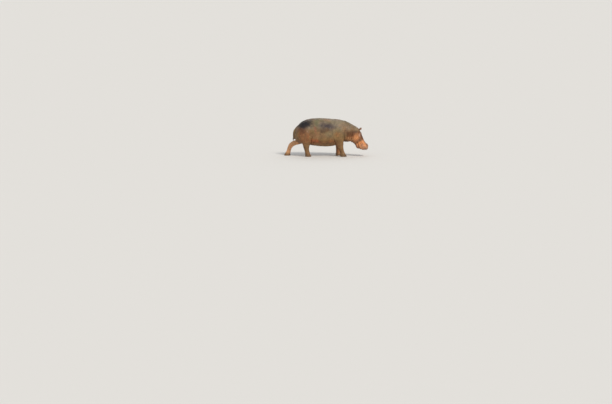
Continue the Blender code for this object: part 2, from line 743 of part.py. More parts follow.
def build():
    flesh = make_flesh()
    decimated(flesh, FLESH_TRIANGLES)
    # Level soles.
    boolean(flesh, prism(((-3, -1), (3, -1), (3, 0), (-3, 0)), -2, 2), "DIFFERENCE")
    keep_as_cutter(bpy.data.objects["prism"])
    bpy.data.objects["prism"].name = "cut_floor"

    for side, name in ((1, "left"), (-1, "right")):
        shape, base, turn = ear(side)
        boolean(flesh, shape, "UNION")
        bpy.data.objects.remove(shape)
        bm = bmesh.new()
        bmesh.ops.create_cube(bm, size=1.0)
        bmesh.ops.transform(bm, matrix=Matrix.Diagonal((0.16, 0.16, 0.16, 1.0)), verts=bm.verts)
        bmesh.ops.translate(bm, vec=(0, 0, 0.08 + EAR_CUT), verts=bm.verts)
        bmesh.ops.transform(bm, matrix=Matrix.Translation(base) @ turn, verts=bm.verts)
        parted(flesh, "ear_" + name, mass_object("box", bm), "face")

    head_edge = ((1.570, 1.60), (1.400, 1.10), (1.190, 0.48), (1.078, 0.15), (2.5, 0.15), (2.5, 1.60))
    whole_head = parted(flesh, "head", prism(head_edge, -0.5, 0.5), "face")
    jaw = parted(whole_head, "lower_jaw", prism(mouth_outline(), -0.5, 0.5), "face")

    for side, name in ((1, "left"), (-1, "right")):
        boolean(whole_head, eyeball(side, EYE_RADIUS + GAP), "DIFFERENCE")
        bpy.data.objects.remove(bpy.data.objects["eye_shape"])
        eye = eyeball(side, EYE_RADIUS)
        eye.name = "eye_" + name
        bpy.context.scene.collection.objects.unlink(eye)
        BODY.objects.link(eye)
        finish(eye, "eye")

    for name, side, rear, front, inner_top, outer_top in (
        ("foreleg_right", -1, 0.575, 1.12, 0.45, 0.66),
        ("foreleg_left", 1, 0.540, 1.12, 0.45, 0.66),
        ("hindleg_right", -1, -0.83, -0.33, 0.47, 0.72),
        ("hindleg_left", 1, -1.60, -0.38, 0.47, 0.74),
    ):
        limb = parted(flesh, name, leg_block(side, rear, front, inner_top, outer_top), "leg")
        key = name.replace("leg_", "_")
        foot = parted(limb, name.replace("leg_", "foot_"), foot_block(side, rear - 0.1, front + 0.1), "leg")
        for i in range(4):
            boolean(foot, nail(key, i, GAP), "DIFFERENCE")
            bpy.data.objects.remove(bpy.data.objects["nail_shape"])
            horn = nail(key, i, 0.0)
            horn.name = f"nail_{key}_{i + 1}"
            bpy.context.scene.collection.objects.unlink(horn)
            BODY.objects.link(horn)
            finish(horn, "horn")
        finish(foot, "leg")
        finish(limb, "leg")
    finish(whole_head, "face")

    tail_edge = ((-0.925, 1.160), (-0.958, 0.955), (-0.950, 0.74), (-0.944, 0.53), (-1.3, 0.53), (-1.3, 1.160))
    parted(flesh, "tail", prism(tail_edge, -0.08, 0.08), "hide")
    neck_edge = ((0.945, 1.60), (0.885, 0.35), (2.0, 0.35), (2.0, 1.60))
    parted(flesh, "neck", prism(neck_edge, -0.6, 0.6), "hide")
    flesh.name = "trunk"
    bpy.context.scene.collection.objects.unlink(flesh)
    BODY.objects.link(flesh)
    finish(flesh, "hide")


for leftover in list(bpy.data.objects):
    bpy.data.objects.remove(leftover)
BODY = bpy.data.collections.new("hippopotamus")
CUTTERS = bpy.data.collections.new("cutters")
bpy.context.scene.collection.children.link(BODY)
bpy.context.scene.collection.children.link(CUTTERS)
build()
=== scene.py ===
"""The look of the hippopotamus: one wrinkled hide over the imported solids, with
its eyes, nails and bristles, on a plain pale floor."""

import math

import bmesh
import bpy
import numpy as np
from mathutils import Matrix, Vector

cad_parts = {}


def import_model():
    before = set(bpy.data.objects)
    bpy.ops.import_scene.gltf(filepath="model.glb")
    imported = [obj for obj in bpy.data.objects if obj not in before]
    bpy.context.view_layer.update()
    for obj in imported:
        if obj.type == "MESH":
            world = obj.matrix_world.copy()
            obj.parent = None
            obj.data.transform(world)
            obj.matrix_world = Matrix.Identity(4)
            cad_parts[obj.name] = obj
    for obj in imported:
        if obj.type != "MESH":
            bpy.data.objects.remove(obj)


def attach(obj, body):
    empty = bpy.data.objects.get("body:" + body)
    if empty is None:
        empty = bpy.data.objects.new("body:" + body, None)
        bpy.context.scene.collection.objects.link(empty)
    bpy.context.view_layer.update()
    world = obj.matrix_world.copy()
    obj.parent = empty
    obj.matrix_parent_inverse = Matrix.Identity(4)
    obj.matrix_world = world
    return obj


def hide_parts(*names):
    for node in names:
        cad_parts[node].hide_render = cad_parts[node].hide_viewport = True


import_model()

# ------------------------------------------------------------------ dimensions
ORIGIN_F = 0.233  # forward distance from the middle of the barrel to the origin
BACK_HEIGHT = 1.448  # floor to the highest point of the back
BELLY_HEIGHT = 0.366  # floor to the lowest point of the belly
BARREL_HALF_WIDTH = 0.468
BARREL_MID = 0.79  # height at which the barrel is widest
RUMP_F = -0.958  # rear end of the rump

HEAD_F, HEAD_Z = 1.34, 0.79  # middle of the head, between poll and jaw angle
HEAD_PITCH = -57.4  # degrees, the head's axis from level
HEAD_LENGTH = 0.845  # poll to front of the muzzle
MUZZLE_HALF_WIDTH = 0.232
WAIST_HALF_WIDTH = 0.125  # the narrow part of the face, before the eyes
CHEEK_HALF_WIDTH = 0.205

EYE_RADIUS = 0.0215
EYE_U, EYE_V, EYE_S = 0.050, 0.190, 0.1435  # along the head, above it, sideways
EAR_U, EAR_V, EAR_S = -0.105, 0.262, 0.105
EAR_LENGTH, EAR_WIDTH, EAR_THICK = 0.122, 0.096, 0.020

FORELEG_S = 0.265
HINDLEG_S = 0.262
FORE_RIGHT_F, FORE_LEFT_F = 0.875, 0.705  # where the fore feet stand
HIND_RIGHT_F, HIND_LEFT_F = -0.465, -1.260  # where the hind feet stand

TOE_ANGLES = (-56, -19, 19, 56)  # degrees from straight ahead
NAIL_SIZE = (0.0235, 0.013, 0.022)  # half width, half depth, half height

SMOOTHING = 60  # rounds, at that grid, over the joins between them
RING_POINTS = 40


# ------------------------------------------------------------------ frame


def world(s, f, z):
    return Vector((s, ORIGIN_F - f, z))


def pitched(pitch):
    """Forward and up directions (f, z) of a frame turned up by pitch degrees."""
    t = math.radians(pitch)
    return (math.cos(t), math.sin(t)), (-math.sin(t), math.cos(t))


HEAD_AXIS, HEAD_UP = pitched(HEAD_PITCH)


def head(u, v, s=0.0):
    """(s, f, z) of a point u along the head's axis, v above it and s sideways."""
    return (
        s,
        HEAD_F + u * HEAD_AXIS[0] + v * HEAD_UP[0],
        HEAD_Z + u * HEAD_AXIS[1] + v * HEAD_UP[1],
    )


# ------------------------------------------------------------------ mass makers


def monotone(t, rows, at):
    """Cubic through the rows that never overshoots them."""
    t, rows, at = np.asarray(t), np.asarray(rows, float), np.asarray(at)
    h = np.diff(t)[:, None]
    d = np.diff(rows, axis=0) / h
    m = np.empty_like(rows)
    m[0], m[-1] = d[0], d[-1]
    both = d[:-1] * d[1:]
    total = d[:-1] + d[1:]
    m[1:-1] = np.where(both > 0, 2 * both / np.where(total == 0, 1, total), 0)
    k = np.clip(np.searchsorted(t, at, side="right") - 1, 0, len(t) - 2)
    x = ((at - t[k]) / h[k, 0])[:, None]
    return (
        (1 + 2 * x) * (1 - x) ** 2 * rows[k]
        + x * (1 - x) ** 2 * h[k] * m[k]
        + x**2 * (3 - 2 * x) * rows[k + 1]
        + x**2 * (x - 1) * h[k] * m[k + 1]
    )


def mass_object(name, bm):
    bmesh.ops.recalc_face_normals(bm, faces=bm.faces)
    mesh = bpy.data.meshes.new(name)
    bm.to_mesh(mesh)
    bm.free()
    obj = bpy.data.objects.new(name, mesh)
    bpy.context.scene.collection.objects.link(obj)
    return obj


def loft(name, stations, rings=48):
    """A closed tube through sections. Each station is its centre s, f, z, the
    pitch of its normal, its half width, its reach above and below the centre,
    and the squareness of its upper and lower half."""
    rows = np.asarray(stations, float)
    key = rows[:, [0, 1, 2, 4, 5, 6]]
    t = np.concatenate([[0], np.cumsum(np.linalg.norm(np.diff(key, axis=0), axis=1))])
    rows = monotone(t, rows, np.linspace(0, t[-1], rings))
    bm = bmesh.new()
    loops = []
    for s, f, z, pitch, half, above, below, square_up, square_down in rows:
        _, up = pitched(pitch)
        loop = []
        for i in range(RING_POINTS):
            angle = 2 * math.pi * i / RING_POINTS
            c, d = math.cos(angle), math.sin(angle)
            power = 2 / (square_up if d >= 0 else square_down)
            a = half * math.copysign(abs(c) ** power, c)
            b = (above if d >= 0 else below) * math.copysign(abs(d) ** power, d)
            loop.append(bm.verts.new(world(s + a, f + b * up[0], z + b * up[1])))
        loops.append(loop)
    for first, second in zip(loops, loops[1:]):
        for i in range(RING_POINTS):
            j = (i + 1) % RING_POINTS
            bm.faces.new((first[i], first[j], second[j], second[i]))
    bm.faces.new(loops[0])
    bm.faces.new(reversed(loops[-1]))
    return mass_object(name, bm)


def ellipsoid(name, centre, radii, pitch=0.0, yaw=0.0, segments=24):
    """radii are sideways, along the pitched forward direction, and above it. yaw
    turns the mass to the animal's left, in degrees."""
    bm = bmesh.new()
    bmesh.ops.create_uvsphere(bm, u_segments=segments, v_segments=segments * 2 // 3, radius=1.0)
    size = Matrix.Diagonal((radii[0], radii[1], radii[2], 1.0))
    # In world axes forward is -Y: a pitch up turns about -X, a yaw left about +Z.
    turn = Matrix.Rotation(math.radians(yaw), 4, "Z") @ Matrix.Rotation(math.radians(-pitch), 4, "X")
    bmesh.ops.transform(bm, matrix=Matrix.Translation(world(*centre)) @ turn @ size, verts=bm.verts)
    return mass_object(name, bm)


def both_sides(make, name, centre, *rest, **more):
    s, f, z = centre
    yaw = more.pop("yaw", 0.0)
    return [
        make(name + "_left", (s, f, z), *rest, yaw=yaw, **more),
        make(name + "_right", (-s, f, z), *rest, yaw=-yaw, **more),
    ]


# ------------------------------------------------------------------ the masses


def trunk_masses():
    # forward place, back, belly, half width, height of the widest point
    sections = (
        (RUMP_F, 0.92, 0.70, 0.08, 0.81),
        (RUMP_F + 0.030, 1.03, 0.59, 0.205, 0.82),
        (-0.86, 1.150, 0.52, 0.320, 0.83),
        (-0.73, 1.285, 0.475, 0.395, 0.83),
        (-0.54, 1.383, 0.445, 0.425, 0.82),
        (-0.27, 1.436, 0.408, 0.444, 0.80),
        (0.00, BACK_HEIGHT, 0.374, 0.463, BARREL_MID),
        (0.20, 1.441, BELLY_HEIGHT, BARREL_HALF_WIDTH, BARREL_MID),
        (0.38, 1.425, 0.373, 0.460, BARREL_MID),
        (0.58, 1.411, 0.408, 0.430, 0.80),
        (0.76, 1.390, 0.480, 0.385, 0.83),
        (0.92, 1.325, 0.575, 0.318, 0.87),
        (1.06, 1.20, 0.68, 0.235, 0.91),
        (1.16, 1.07, 0.78, 0.130, 0.92),
    )
    barrel = loft(
        "barrel",
        [(0, f, mid, 0, half, top - mid, mid - low, 2.15, 2.1) for f, top, low, half, mid in sections],
        rings=64,
    )
    neck = loft(
        "neck_mass",
        (
            (0, 0.62, 0.93, -8, 0.350, 0.44, 0.44, 2.1, 2.1),
            (0, 0.82, 0.935, -14, 0.325, 0.433, 0.41, 2.1, 2.1),
            (0, 1.00, 0.90, -20, 0.292, 0.385, 0.352, 2.1, 2.2),
            (0, 1.15, 0.86, -26, 0.268, 0.348, 0.358, 2.1, 2.3),
            (0, 1.28, 0.82, -36, 0.248, 0.310, 0.345, 2.1, 2.3),
            (0, 1.37, 0.76, -48, 0.225, 0.245, 0.270, 2.1, 2.3),
        ),
        rings=32,
    )
    # The hip and shoulder muscles, and the flesh over the shoulder blade.
    parts = [barrel, neck]
    parts += both_sides(ellipsoid, "shoulder", (0.215, 0.72, 0.86), (0.190, 0.25, 0.38), pitch=-6)
    parts += both_sides(ellipsoid, "haunch", (0.235, -0.60, 0.86), (0.19, 0.31, 0.36), pitch=-10)
    return parts


def head_masses():
    def sections(rows, square):
        out = []
        for u, top, low, half, mid in rows:
            s, f, z = head(u, mid)
            out.append((s, f, z, HEAD_PITCH, half, top - mid, mid - low, *square))
        return out

    waist = WAIST_HALF_WIDTH
    wide = MUZZLE_HALF_WIDTH
    cheek = CHEEK_HALF_WIDTH
    # place along the head, top, bottom, half width, level of the widest point
    skull = loft(
        "skull",
        sections(
            (
                (-0.25, 0.17, -0.08, 0.10, 0.05),
                (-0.19, 0.235, -0.15, 0.160, 0.05),
                (-0.11, 0.262, -0.19, 0.182, 0.04),
                (-0.02, 0.250, -0.20, 0.178, 0.03),
                (0.07, 0.234, -0.20, 0.160, 0.02),
                (0.16, 0.214, -0.19, waist + 0.014, 0.02),
                (0.25, 0.194, -0.17, waist, 0.02),
                (0.34, 0.182, -0.15, waist + 0.012, 0.03),
                (0.44, 0.180, -0.12, 0.165, 0.04),
                (0.53, 0.176, -0.10, 0.185, 0.04),
                (0.60, 0.150, -0.06, 0.160, 0.05),
            ),
            (2.3, 2.2),
        ),
    )
    muzzle = loft(
        "muzzle",
        sections(
            (
                (0.25, 0.14, -0.08, 0.085, 0.03),
                (0.31, 0.165, -0.105, 0.135, 0.03),
                (0.39, 0.180, -0.125, wide - 0.038, 0.025),
                (0.47, 0.190, -0.132, wide - 0.009, 0.02),
                (0.54, 0.194, -0.110, wide, 0.030),
                (0.590, 0.190, -0.070, wide - 0.008, 0.045),
                (0.632, 0.176, -0.024, wide - 0.028, 0.062),
                (0.664, 0.152, 0.020, wide - 0.060, 0.078),
                (0.687, 0.122, 0.058, wide - 0.112, 0.090),
            ),
            (2.7, 2.6),
        ),
    )
    jaw = loft(
        "jaw",
        sections(
            (
                (-0.13, -0.02, -0.185, 0.12, -0.09),
                (-0.05, 0.02, -0.238, cheek - 0.025, -0.10),
                (0.05, 0.02, -0.258, cheek - 0.004, -0.11),
                (0.14, 0.00, -0.248, cheek - 0.008, -0.12),
                (0.22, -0.02, -0.208, 0.176, -0.12),
                (0.31, -0.04, -0.196, 0.166, -0.12),
                (0.40, -0.05, -0.200, 0.178, -0.12),
                (0.47, -0.05, -0.180, 0.184, -0.11),
                (0.53, -0.04, -0.136, 0.168, -0.08),
                (0.58, -0.02, -0.080, 0.130, -0.05),
            ),
            (2.2, 2.5),
        ),
    )
    tip = HEAD_PITCH
    parts = [skull, muzzle, jaw]
    parts += both_sides(ellipsoid, "cheek", head(-0.01, -0.01, 0.118), (0.086, 0.215, 0.200), pitch=tip + 6)
    parts += both_sides(ellipsoid, "mouth_corner", head(0.175, -0.075, 0.095), (0.082, 0.150, 0.115), pitch=tip, yaw=4)
    parts += both_sides(ellipsoid, "cheekbone", head(0.030, 0.115, 0.098), (0.062, 0.165, 0.085), pitch=tip - 6, yaw=4)
    parts += both_sides(ellipsoid, "brow", head(0.046, 0.196, 0.113), (0.045, 0.078, 0.056), pitch=tip, yaw=8)
    parts += both_sides(ellipsoid, "brow_ridge", head(-0.03, 0.195, 0.100), (0.040, 0.110, 0.050), pitch=tip, yaw=3)
    parts += both_sides(ellipsoid, "nostril_mound", head(0.555, 0.165, 0.083), (0.057, 0.080, 0.043), pitch=tip)
    parts += both_sides(ellipsoid, "lip_bulge", head(0.49, -0.02, 0.164), (0.078, 0.130, 0.128), pitch=tip)
    parts += both_sides(ellipsoid, "ear_root", head(EAR_U, EAR_V - 0.020, EAR_S), (0.034, 0.037, 0.066), pitch=tip)
    return parts


def legs():
    """Each leg's stations from shoulder or hip to sole: f, z, pitch, half width,
    reach forward and reach back."""
    sole = -0.03
    fore_right = (
        (0.720, 0.84, -90, 0.13, 0.20, 0.22),
        (0.738, 0.66, -90, 0.135, 0.180, 0.190),
        (0.758, 0.50, -88, 0.124, 0.146, 0.158),
        (0.788, 0.37, -84, 0.106, 0.110, 0.122),
        (0.822, 0.245, -80, 0.092, 0.089, 0.096),
        (0.848, 0.150, -80, 0.092, 0.090, 0.094),
        (0.872, 0.070, -85, 0.103, 0.102, 0.100),
        (0.880, sole, -90, 0.106, 0.106, 0.102),
    )
    fore_left = (
        (0.720, 0.84, -90, 0.13, 0.20, 0.22),
        (0.722, 0.66, -92, 0.135, 0.180, 0.190),
        (0.716, 0.50, -94, 0.124, 0.146, 0.158),
        (0.708, 0.37, -94, 0.106, 0.110, 0.122),
        (0.699, 0.245, -92, 0.092, 0.089, 0.096),
        (0.698, 0.150, -90, 0.092, 0.090, 0.094),
        (0.704, 0.070, -88, 0.103, 0.102, 0.100),
        (0.709, sole, -90, 0.106, 0.106, 0.102),
    )
    hind_right = (
        (-0.600, 0.92, -90, 0.13, 0.24, 0.25),
        (-0.580, 0.76, -88, 0.150, 0.240, 0.232),
        (-0.540, 0.62, -88, 0.142, 0.198, 0.192),
        (-0.520, 0.49, -92, 0.122, 0.150, 0.148),
        (-0.522, 0.375, -94, 0.101, 0.118, 0.130),
        (-0.500, 0.240, -84, 0.087, 0.094, 0.099),
        (-0.480, 0.145, -82, 0.089, 0.095, 0.096),
        (-0.465, 0.065, -86, 0.100, 0.104, 0.102),
        (-0.460, sole, -90, 0.103, 0.107, 0.104),
    )
    hind_left = (
        (-0.590, 0.94, -92, 0.13, 0.24, 0.25),
        (-0.610, 0.79, -104, 0.150, 0.240, 0.220),
        (-0.660, 0.650, -122, 0.146, 0.190, 0.185),
        (-0.745, 0.560, -144, 0.126, 0.138, 0.142),
        (-0.865, 0.505, -157, 0.106, 0.102, 0.106),
        (-1.000, 0.462, -153, 0.097, 0.096, 0.100),
        (-1.102, 0.388, -132, 0.092, 0.098, 0.104),
        (-1.160, 0.292, -108, 0.086, 0.088, 0.090),
        (-1.186, 0.200, -101, 0.083, 0.084, 0.083),
        (-1.212, 0.120, -104, 0.088, 0.090, 0.086),
        (-1.244, 0.055, -98, 0.099, 0.106, 0.098),
        (-1.260, sole, -90, 0.102, 0.106, 0.098),
    )
    out = []
    for name, rows, side in (
        ("foreleg_right", fore_right, -FORELEG_S),
        ("foreleg_left", fore_left, FORELEG_S),
        ("hindleg_right", hind_right, -HINDLEG_S),
        ("hindleg_left", hind_left, HINDLEG_S),
    ):
        top = rows[0][1]
        stations = []
        for f, z, pitch, half, ahead, behind in rows:
            inward = 0.035 * max(0.0, (z - 0.45) / (top - 0.45)) * math.copysign(1, side)
            stations.append((side - inward, f, z, pitch, half, ahead, behind, 2.0, 2.0))
        out.append(loft(name + "_mass", stations, rings=40))
    # The point of the hock stands out behind each hind leg.
    out.append(ellipsoid("hock_right", (-HINDLEG_S, -0.590, 0.385), (0.042, 0.055, 0.075), pitch=10))
    out.append(ellipsoid("hock_left", (HINDLEG_S, -1.140, 0.440), (0.042, 0.058, 0.064), pitch=-40))
    return out


FEET = {
    "fore_right": (-FORELEG_S, FORE_RIGHT_F, 1.00),
    "fore_left": (FORELEG_S, FORE_LEFT_F, 1.00),
    "hind_right": (-HINDLEG_S, HIND_RIGHT_F, 0.96),
    "hind_left": (HINDLEG_S, HIND_LEFT_F, 0.96),
}


def toe_place(foot, index):
    """Centre and outward heading of a toe. The middle two reach further ahead."""
    s, f, size = FEET[foot]
    angle = TOE_ANGLES[index]
    turn = math.radians(angle)
    reach = (0.078 if abs(angle) > 40 else 0.086) * size
    outward = angle * 0.55
    return (s + math.sin(turn) * reach, f + 0.004 + math.cos(turn) * reach, 0.030), outward


def feet():
    out = []
    for foot, (s, f, size) in FEET.items():
        out.append(ellipsoid(f"pad_{foot}", (s, f - 0.005, 0.028), (0.104 * size, 0.108 * size, 0.050)))
        for i in range(4):
            centre, heading = toe_place(foot, i)
            out.append(
                ellipsoid(f"toe_{foot}_{i}", centre, (0.037 * size, 0.052 * size, 0.046), pitch=-12, yaw=heading)
            )
    return out


def tail_mass():
    """Flattened from side to side, hanging close behind the rump."""
    return loft(
        "tail_mass",
        (
            (0, -0.850, 1.120, -125, 0.056, 0.055, 0.055, 2, 2),
            (0, -0.925, 1.045, -122, 0.053, 0.050, 0.046, 2, 2),
            (0, -0.975, 0.960, -108, 0.045, 0.046, 0.037, 2, 2),
            (0, -0.995, 0.860, -96, 0.036, 0.044, 0.036, 2, 2),
            (0, -1.000, 0.760, -91, 0.028, 0.042, 0.037, 2, 2),
            (0, -1.000, 0.670, -88, 0.021, 0.040, 0.038, 2, 2),
            (0, -0.998, 0.610, -88, 0.014, 0.030, 0.030, 2, 2),
            (0, -0.996, 0.580, -88, 0.008, 0.016, 0.016, 2, 2),
        ),
        rings=24,
    )


# Bone and muscle under the hide. On the body: sideways place, forward place,
# height, reach each way, and how far the form stands out or sinks in.
BODY_FORMS = (
    (0.36, 0.79, 1.00, 0.22, 0.12, 0.24, 0.020),  # shoulder blade
    (0.36, 0.555, 0.86, 0.25, 0.075, 0.28, -0.022),  # hollow behind the shoulder
    (0.34, 0.75, 0.70, 0.20, 0.15, 0.14, 0.020),  # upper arm
    (0.46, 0.10, 0.60, 0.25, 0.40, 0.18, 0.014),  # ribs and belly
    (0.44, 0.28, 1.00, 0.22, 0.22, 0.18, -0.010),
    (0.42, -0.36, 0.80, 0.22, 0.085, 0.26, -0.030),  # hollow of the flank
    (0.34, -0.55, 1.05, 0.22, 0.14, 0.15, 0.020),  # point of the hip
    (0.36, -0.62, 0.70, 0.16, 0.16, 0.16, 0.018),  # thigh
    (0.30, -0.88, 0.80, 0.16, 0.10, 0.20, 0.020),  # seat bone
    (0.22, -0.80, 1.10, 0.12, 0.10, 0.09, -0.013),
    (0.20, 1.02, 1.12, 0.16, 0.09, 0.14, -0.012),  # before the withers
)
# On the head: places u, v and s in its frame, reach each way, and height.
HEAD_FORMS = (
    (0.165, 0.075, 0.140, 0.085, 0.085, 0.060, -0.014),  # hollow before the eye
    (0.000, 0.100, 0.190, 0.100, 0.060, 0.060, 0.008),  # cheekbone
    (0.085, -0.130, 0.190, 0.120, 0.080, 0.080, 0.012),  # jowl
    (0.440, -0.190, 0.100, 0.080, 0.050, 0.100, 0.012),  # chin
    (0.500, 0.060, 0.210, 0.090, 0.080, 0.050, 0.008),  # whisker pad
    (0.280, 0.100, 0.130, 0.060, 0.050, 0.060, 0.006),
)


# ------------------------------------------------------------------ fusing


def read_mesh(mesh):
    points = np.empty(len(mesh.vertices) * 3)
    mesh.vertices.foreach_get("co", points)
    edges = np.empty(len(mesh.edges) * 2, int)
    mesh.edges.foreach_get("vertices", edges)
    return points.reshape(-1, 3), edges.reshape(-1, 2)


def relax(points, edges, weight, rounds):
    """Moves each point part of the way to the mean of its neighbours."""
    a, b = edges[:, 0], edges[:, 1]
    count = len(points)
    degree = np.maximum(np.bincount(a, minlength=count) + np.bincount(b, minlength=count), 1)
    for _ in range(rounds):
        mean = np.stack(
            [
                np.bincount(a, points[b, k], count) + np.bincount(b, points[a, k], count)
                for k in range(3)
            ],
            axis=1,
        ) / degree[:, None]
        points = points + (mean - points) * weight[:, None]
    return points


def smoothstep(low, high, x):
    t = np.clip((x - low) / (high - low), 0, 1)
    return t * t * (3 - 2 * t)


def body_coordinates(points):
    """s, f, z, and u, v in the head's frame."""
    s, f, z = points[:, 0], ORIGIN_F - points[:, 1], points[:, 2]
    df, dz = f - HEAD_F, z - HEAD_Z
    u = df * HEAD_AXIS[0] + dz * HEAD_AXIS[1]
    v = df * HEAD_UP[0] + dz * HEAD_UP[1]
    return s, f, z, u, v


def smoothing_weight(points):
    """Most on the barrel and where legs join it, least on the face and the feet."""
    s, f, z, u, v = body_coordinates(points)
    on_head = smoothstep(-0.12, 0.05, u) * smoothstep(1.25, 1.40, f)
    on_foot = 1 - smoothstep(0.09, 0.20, z)
    on_tail = smoothstep(0.975, 1.0, -f) * smoothstep(0.5, 0.55, z)
    return 0.6 * (1 - 0.92 * np.maximum.reduce([on_head, on_foot * (f < 1.2), on_tail]))


def fused(masses, voxel):
    bm = bmesh.new()
    for obj in masses:
        bm.from_mesh(obj.data)
        mesh = obj.data
        bpy.data.objects.remove(obj)
        bpy.data.meshes.remove(mesh)
    body = mass_object("flesh", bm)
    remesh = body.modifiers.new("fuse", "REMESH")
    remesh.mode = "VOXEL"
    remesh.voxel_size = voxel
    graph = bpy.context.evaluated_depsgraph_get()
    mesh = bpy.data.meshes.new_from_object(body.evaluated_get(graph))
    body.modifiers.clear()
    old, body.data = body.data, mesh
    bpy.data.meshes.remove(old)
    points, edges = read_mesh(mesh)
    rounds = max(1, round(SMOOTHING * (0.014 / voxel) ** 2))
    points = relax(points, edges, smoothing_weight(points), rounds)
    mesh.vertices.foreach_set("co", points.ravel())
    mesh.update()
    return body


def muscled(body):
    """Moves the hide out over muscle and bone, and in between them."""
    mesh = body.data
    points, _ = read_mesh(mesh)
    normals = np.empty(len(points) * 3)
    mesh.vertex_normals.foreach_get("vector", normals)
    s, f, z, u, v = body_coordinates(points)
    side = np.abs(s)
    move = np.zeros(len(points))
    for s0, f0, z0, rs, rf, rz, height in BODY_FORMS:
        move += height * np.exp(-(((side - s0) / rs) ** 2) - ((f - f0) / rf) ** 2 - ((z - z0) / rz) ** 2)
    for u0, v0, s0, ru, rv, rs, height in HEAD_FORMS:
        move += height * np.exp(-(((u - u0) / ru) ** 2) - ((v - v0) / rv) ** 2 - ((side - s0) / rs) ** 2) * (f > 0.9)
    # Hollow between the brows, and the furrow under the tail's root.
    move -= 0.012 * np.exp(-((s / 0.045) ** 2) - ((u - 0.04) / 0.10) ** 2) * smoothstep(0.12, 0.20, v) * (f > 1.1)
    move -= 0.014 * np.exp(-((side - 0.055) / 0.022) ** 2) * smoothstep(0.88, 0.95, -f) * smoothstep(0.55, 0.65, z) * (f > -0.975)
    # A faint ridge along the spine, hollow at each side.
    ridge = 0.006 * np.exp(-((s / 0.05) ** 2)) - 0.006 * np.exp(-(((side - 0.13) / 0.06) ** 2))
    move += ridge * smoothstep(1.2, 1.35, z) * (f < 1.35)
    points = points + normals.reshape(-1, 3) * move[:, None]
    mesh.vertices.foreach_set("co", points.ravel())
    mesh.update()
    return body



# ------------------------------------------------------------------ skin tools

SKIN_TRIANGLES = 190000

rng = np.random.default_rng(7)
GRADIENTS = rng.normal(size=(256, 3))
GRADIENTS /= np.linalg.norm(GRADIENTS, axis=1)[:, None]


def noise(points, scale, seed=0, stretch=(1, 1, 1)):
    """Smooth gradient noise, about -1 to 1; scale is the size of its lumps."""
    turn = np.array(
        Matrix.Rotation(0.7 + 1.3 * seed, 3, Vector((math.sin(seed), math.cos(2.1 * seed), 0.6)).normalized())
    )
    if stretch == (1, 1, 1):
        p = np.asarray(points) @ turn.T
    else:
        p = np.asarray(points) * np.asarray(stretch)
    p = p / scale + 100.0 + 7.31 * seed
    base = np.floor(p).astype(np.int64)
    t = p - base
    fade = t * t * t * (t * (t * 6 - 15) + 10)
    total = np.zeros(len(p))
    for dx in (0, 1):
        for dy in (0, 1):
            for dz in (0, 1):
                h = (base[:, 0] + dx) * 73856093 ^ (base[:, 1] + dy) * 19349663 ^ (base[:, 2] + dz) * 83492791 ^ seed * 2654435
                h ^= h >> 11
                g = GRADIENTS[(h * 40503 >> 7) & 255]
                value = (t[:, 0] - dx) * g[:, 0] + (t[:, 1] - dy) * g[:, 1] + (t[:, 2] - dz) * g[:, 2]
                w = (
                    (fade[:, 0] if dx else 1 - fade[:, 0])
                    * (fade[:, 1] if dy else 1 - fade[:, 1])
                    * (fade[:, 2] if dz else 1 - fade[:, 2])
                )
                total += w * value
    return total * 1.6


def smooth_path(path, per=12):
    path = np.asarray(path, float)
    if len(path) < 3:
        return path
    step = np.concatenate([[0], np.cumsum(np.linalg.norm(np.diff(path, axis=0), axis=1))])
    return monotone(step, path, np.linspace(0, step[-1], per * (len(path) - 1) + 1))


def path_distance(a, b, path):
    """Distance of each plane point (a, b) from a smooth path, and how far along
    the path its nearest point lies, from 0 to 1."""
    dense = smooth_path(path)
    best = np.full(len(a), np.inf)
    along = np.zeros(len(a))
    total = np.linalg.norm(np.diff(dense, axis=0), axis=1).sum()
    run = 0.0
    for (a0, b0), (a1, b1) in zip(dense, dense[1:]):
        da, db = a1 - a0, b1 - b0
        length = math.hypot(da, db)
        t = np.clip(((a - a0) * da + (b - b0) * db) / (length * length), 0, 1)
        d = np.hypot(a - a0 - t * da, b - b0 - t * db)
        near = d < best
        best[near] = d[near]
        along[near] = (run + t[near] * length) / total
        run += length
    return best, along


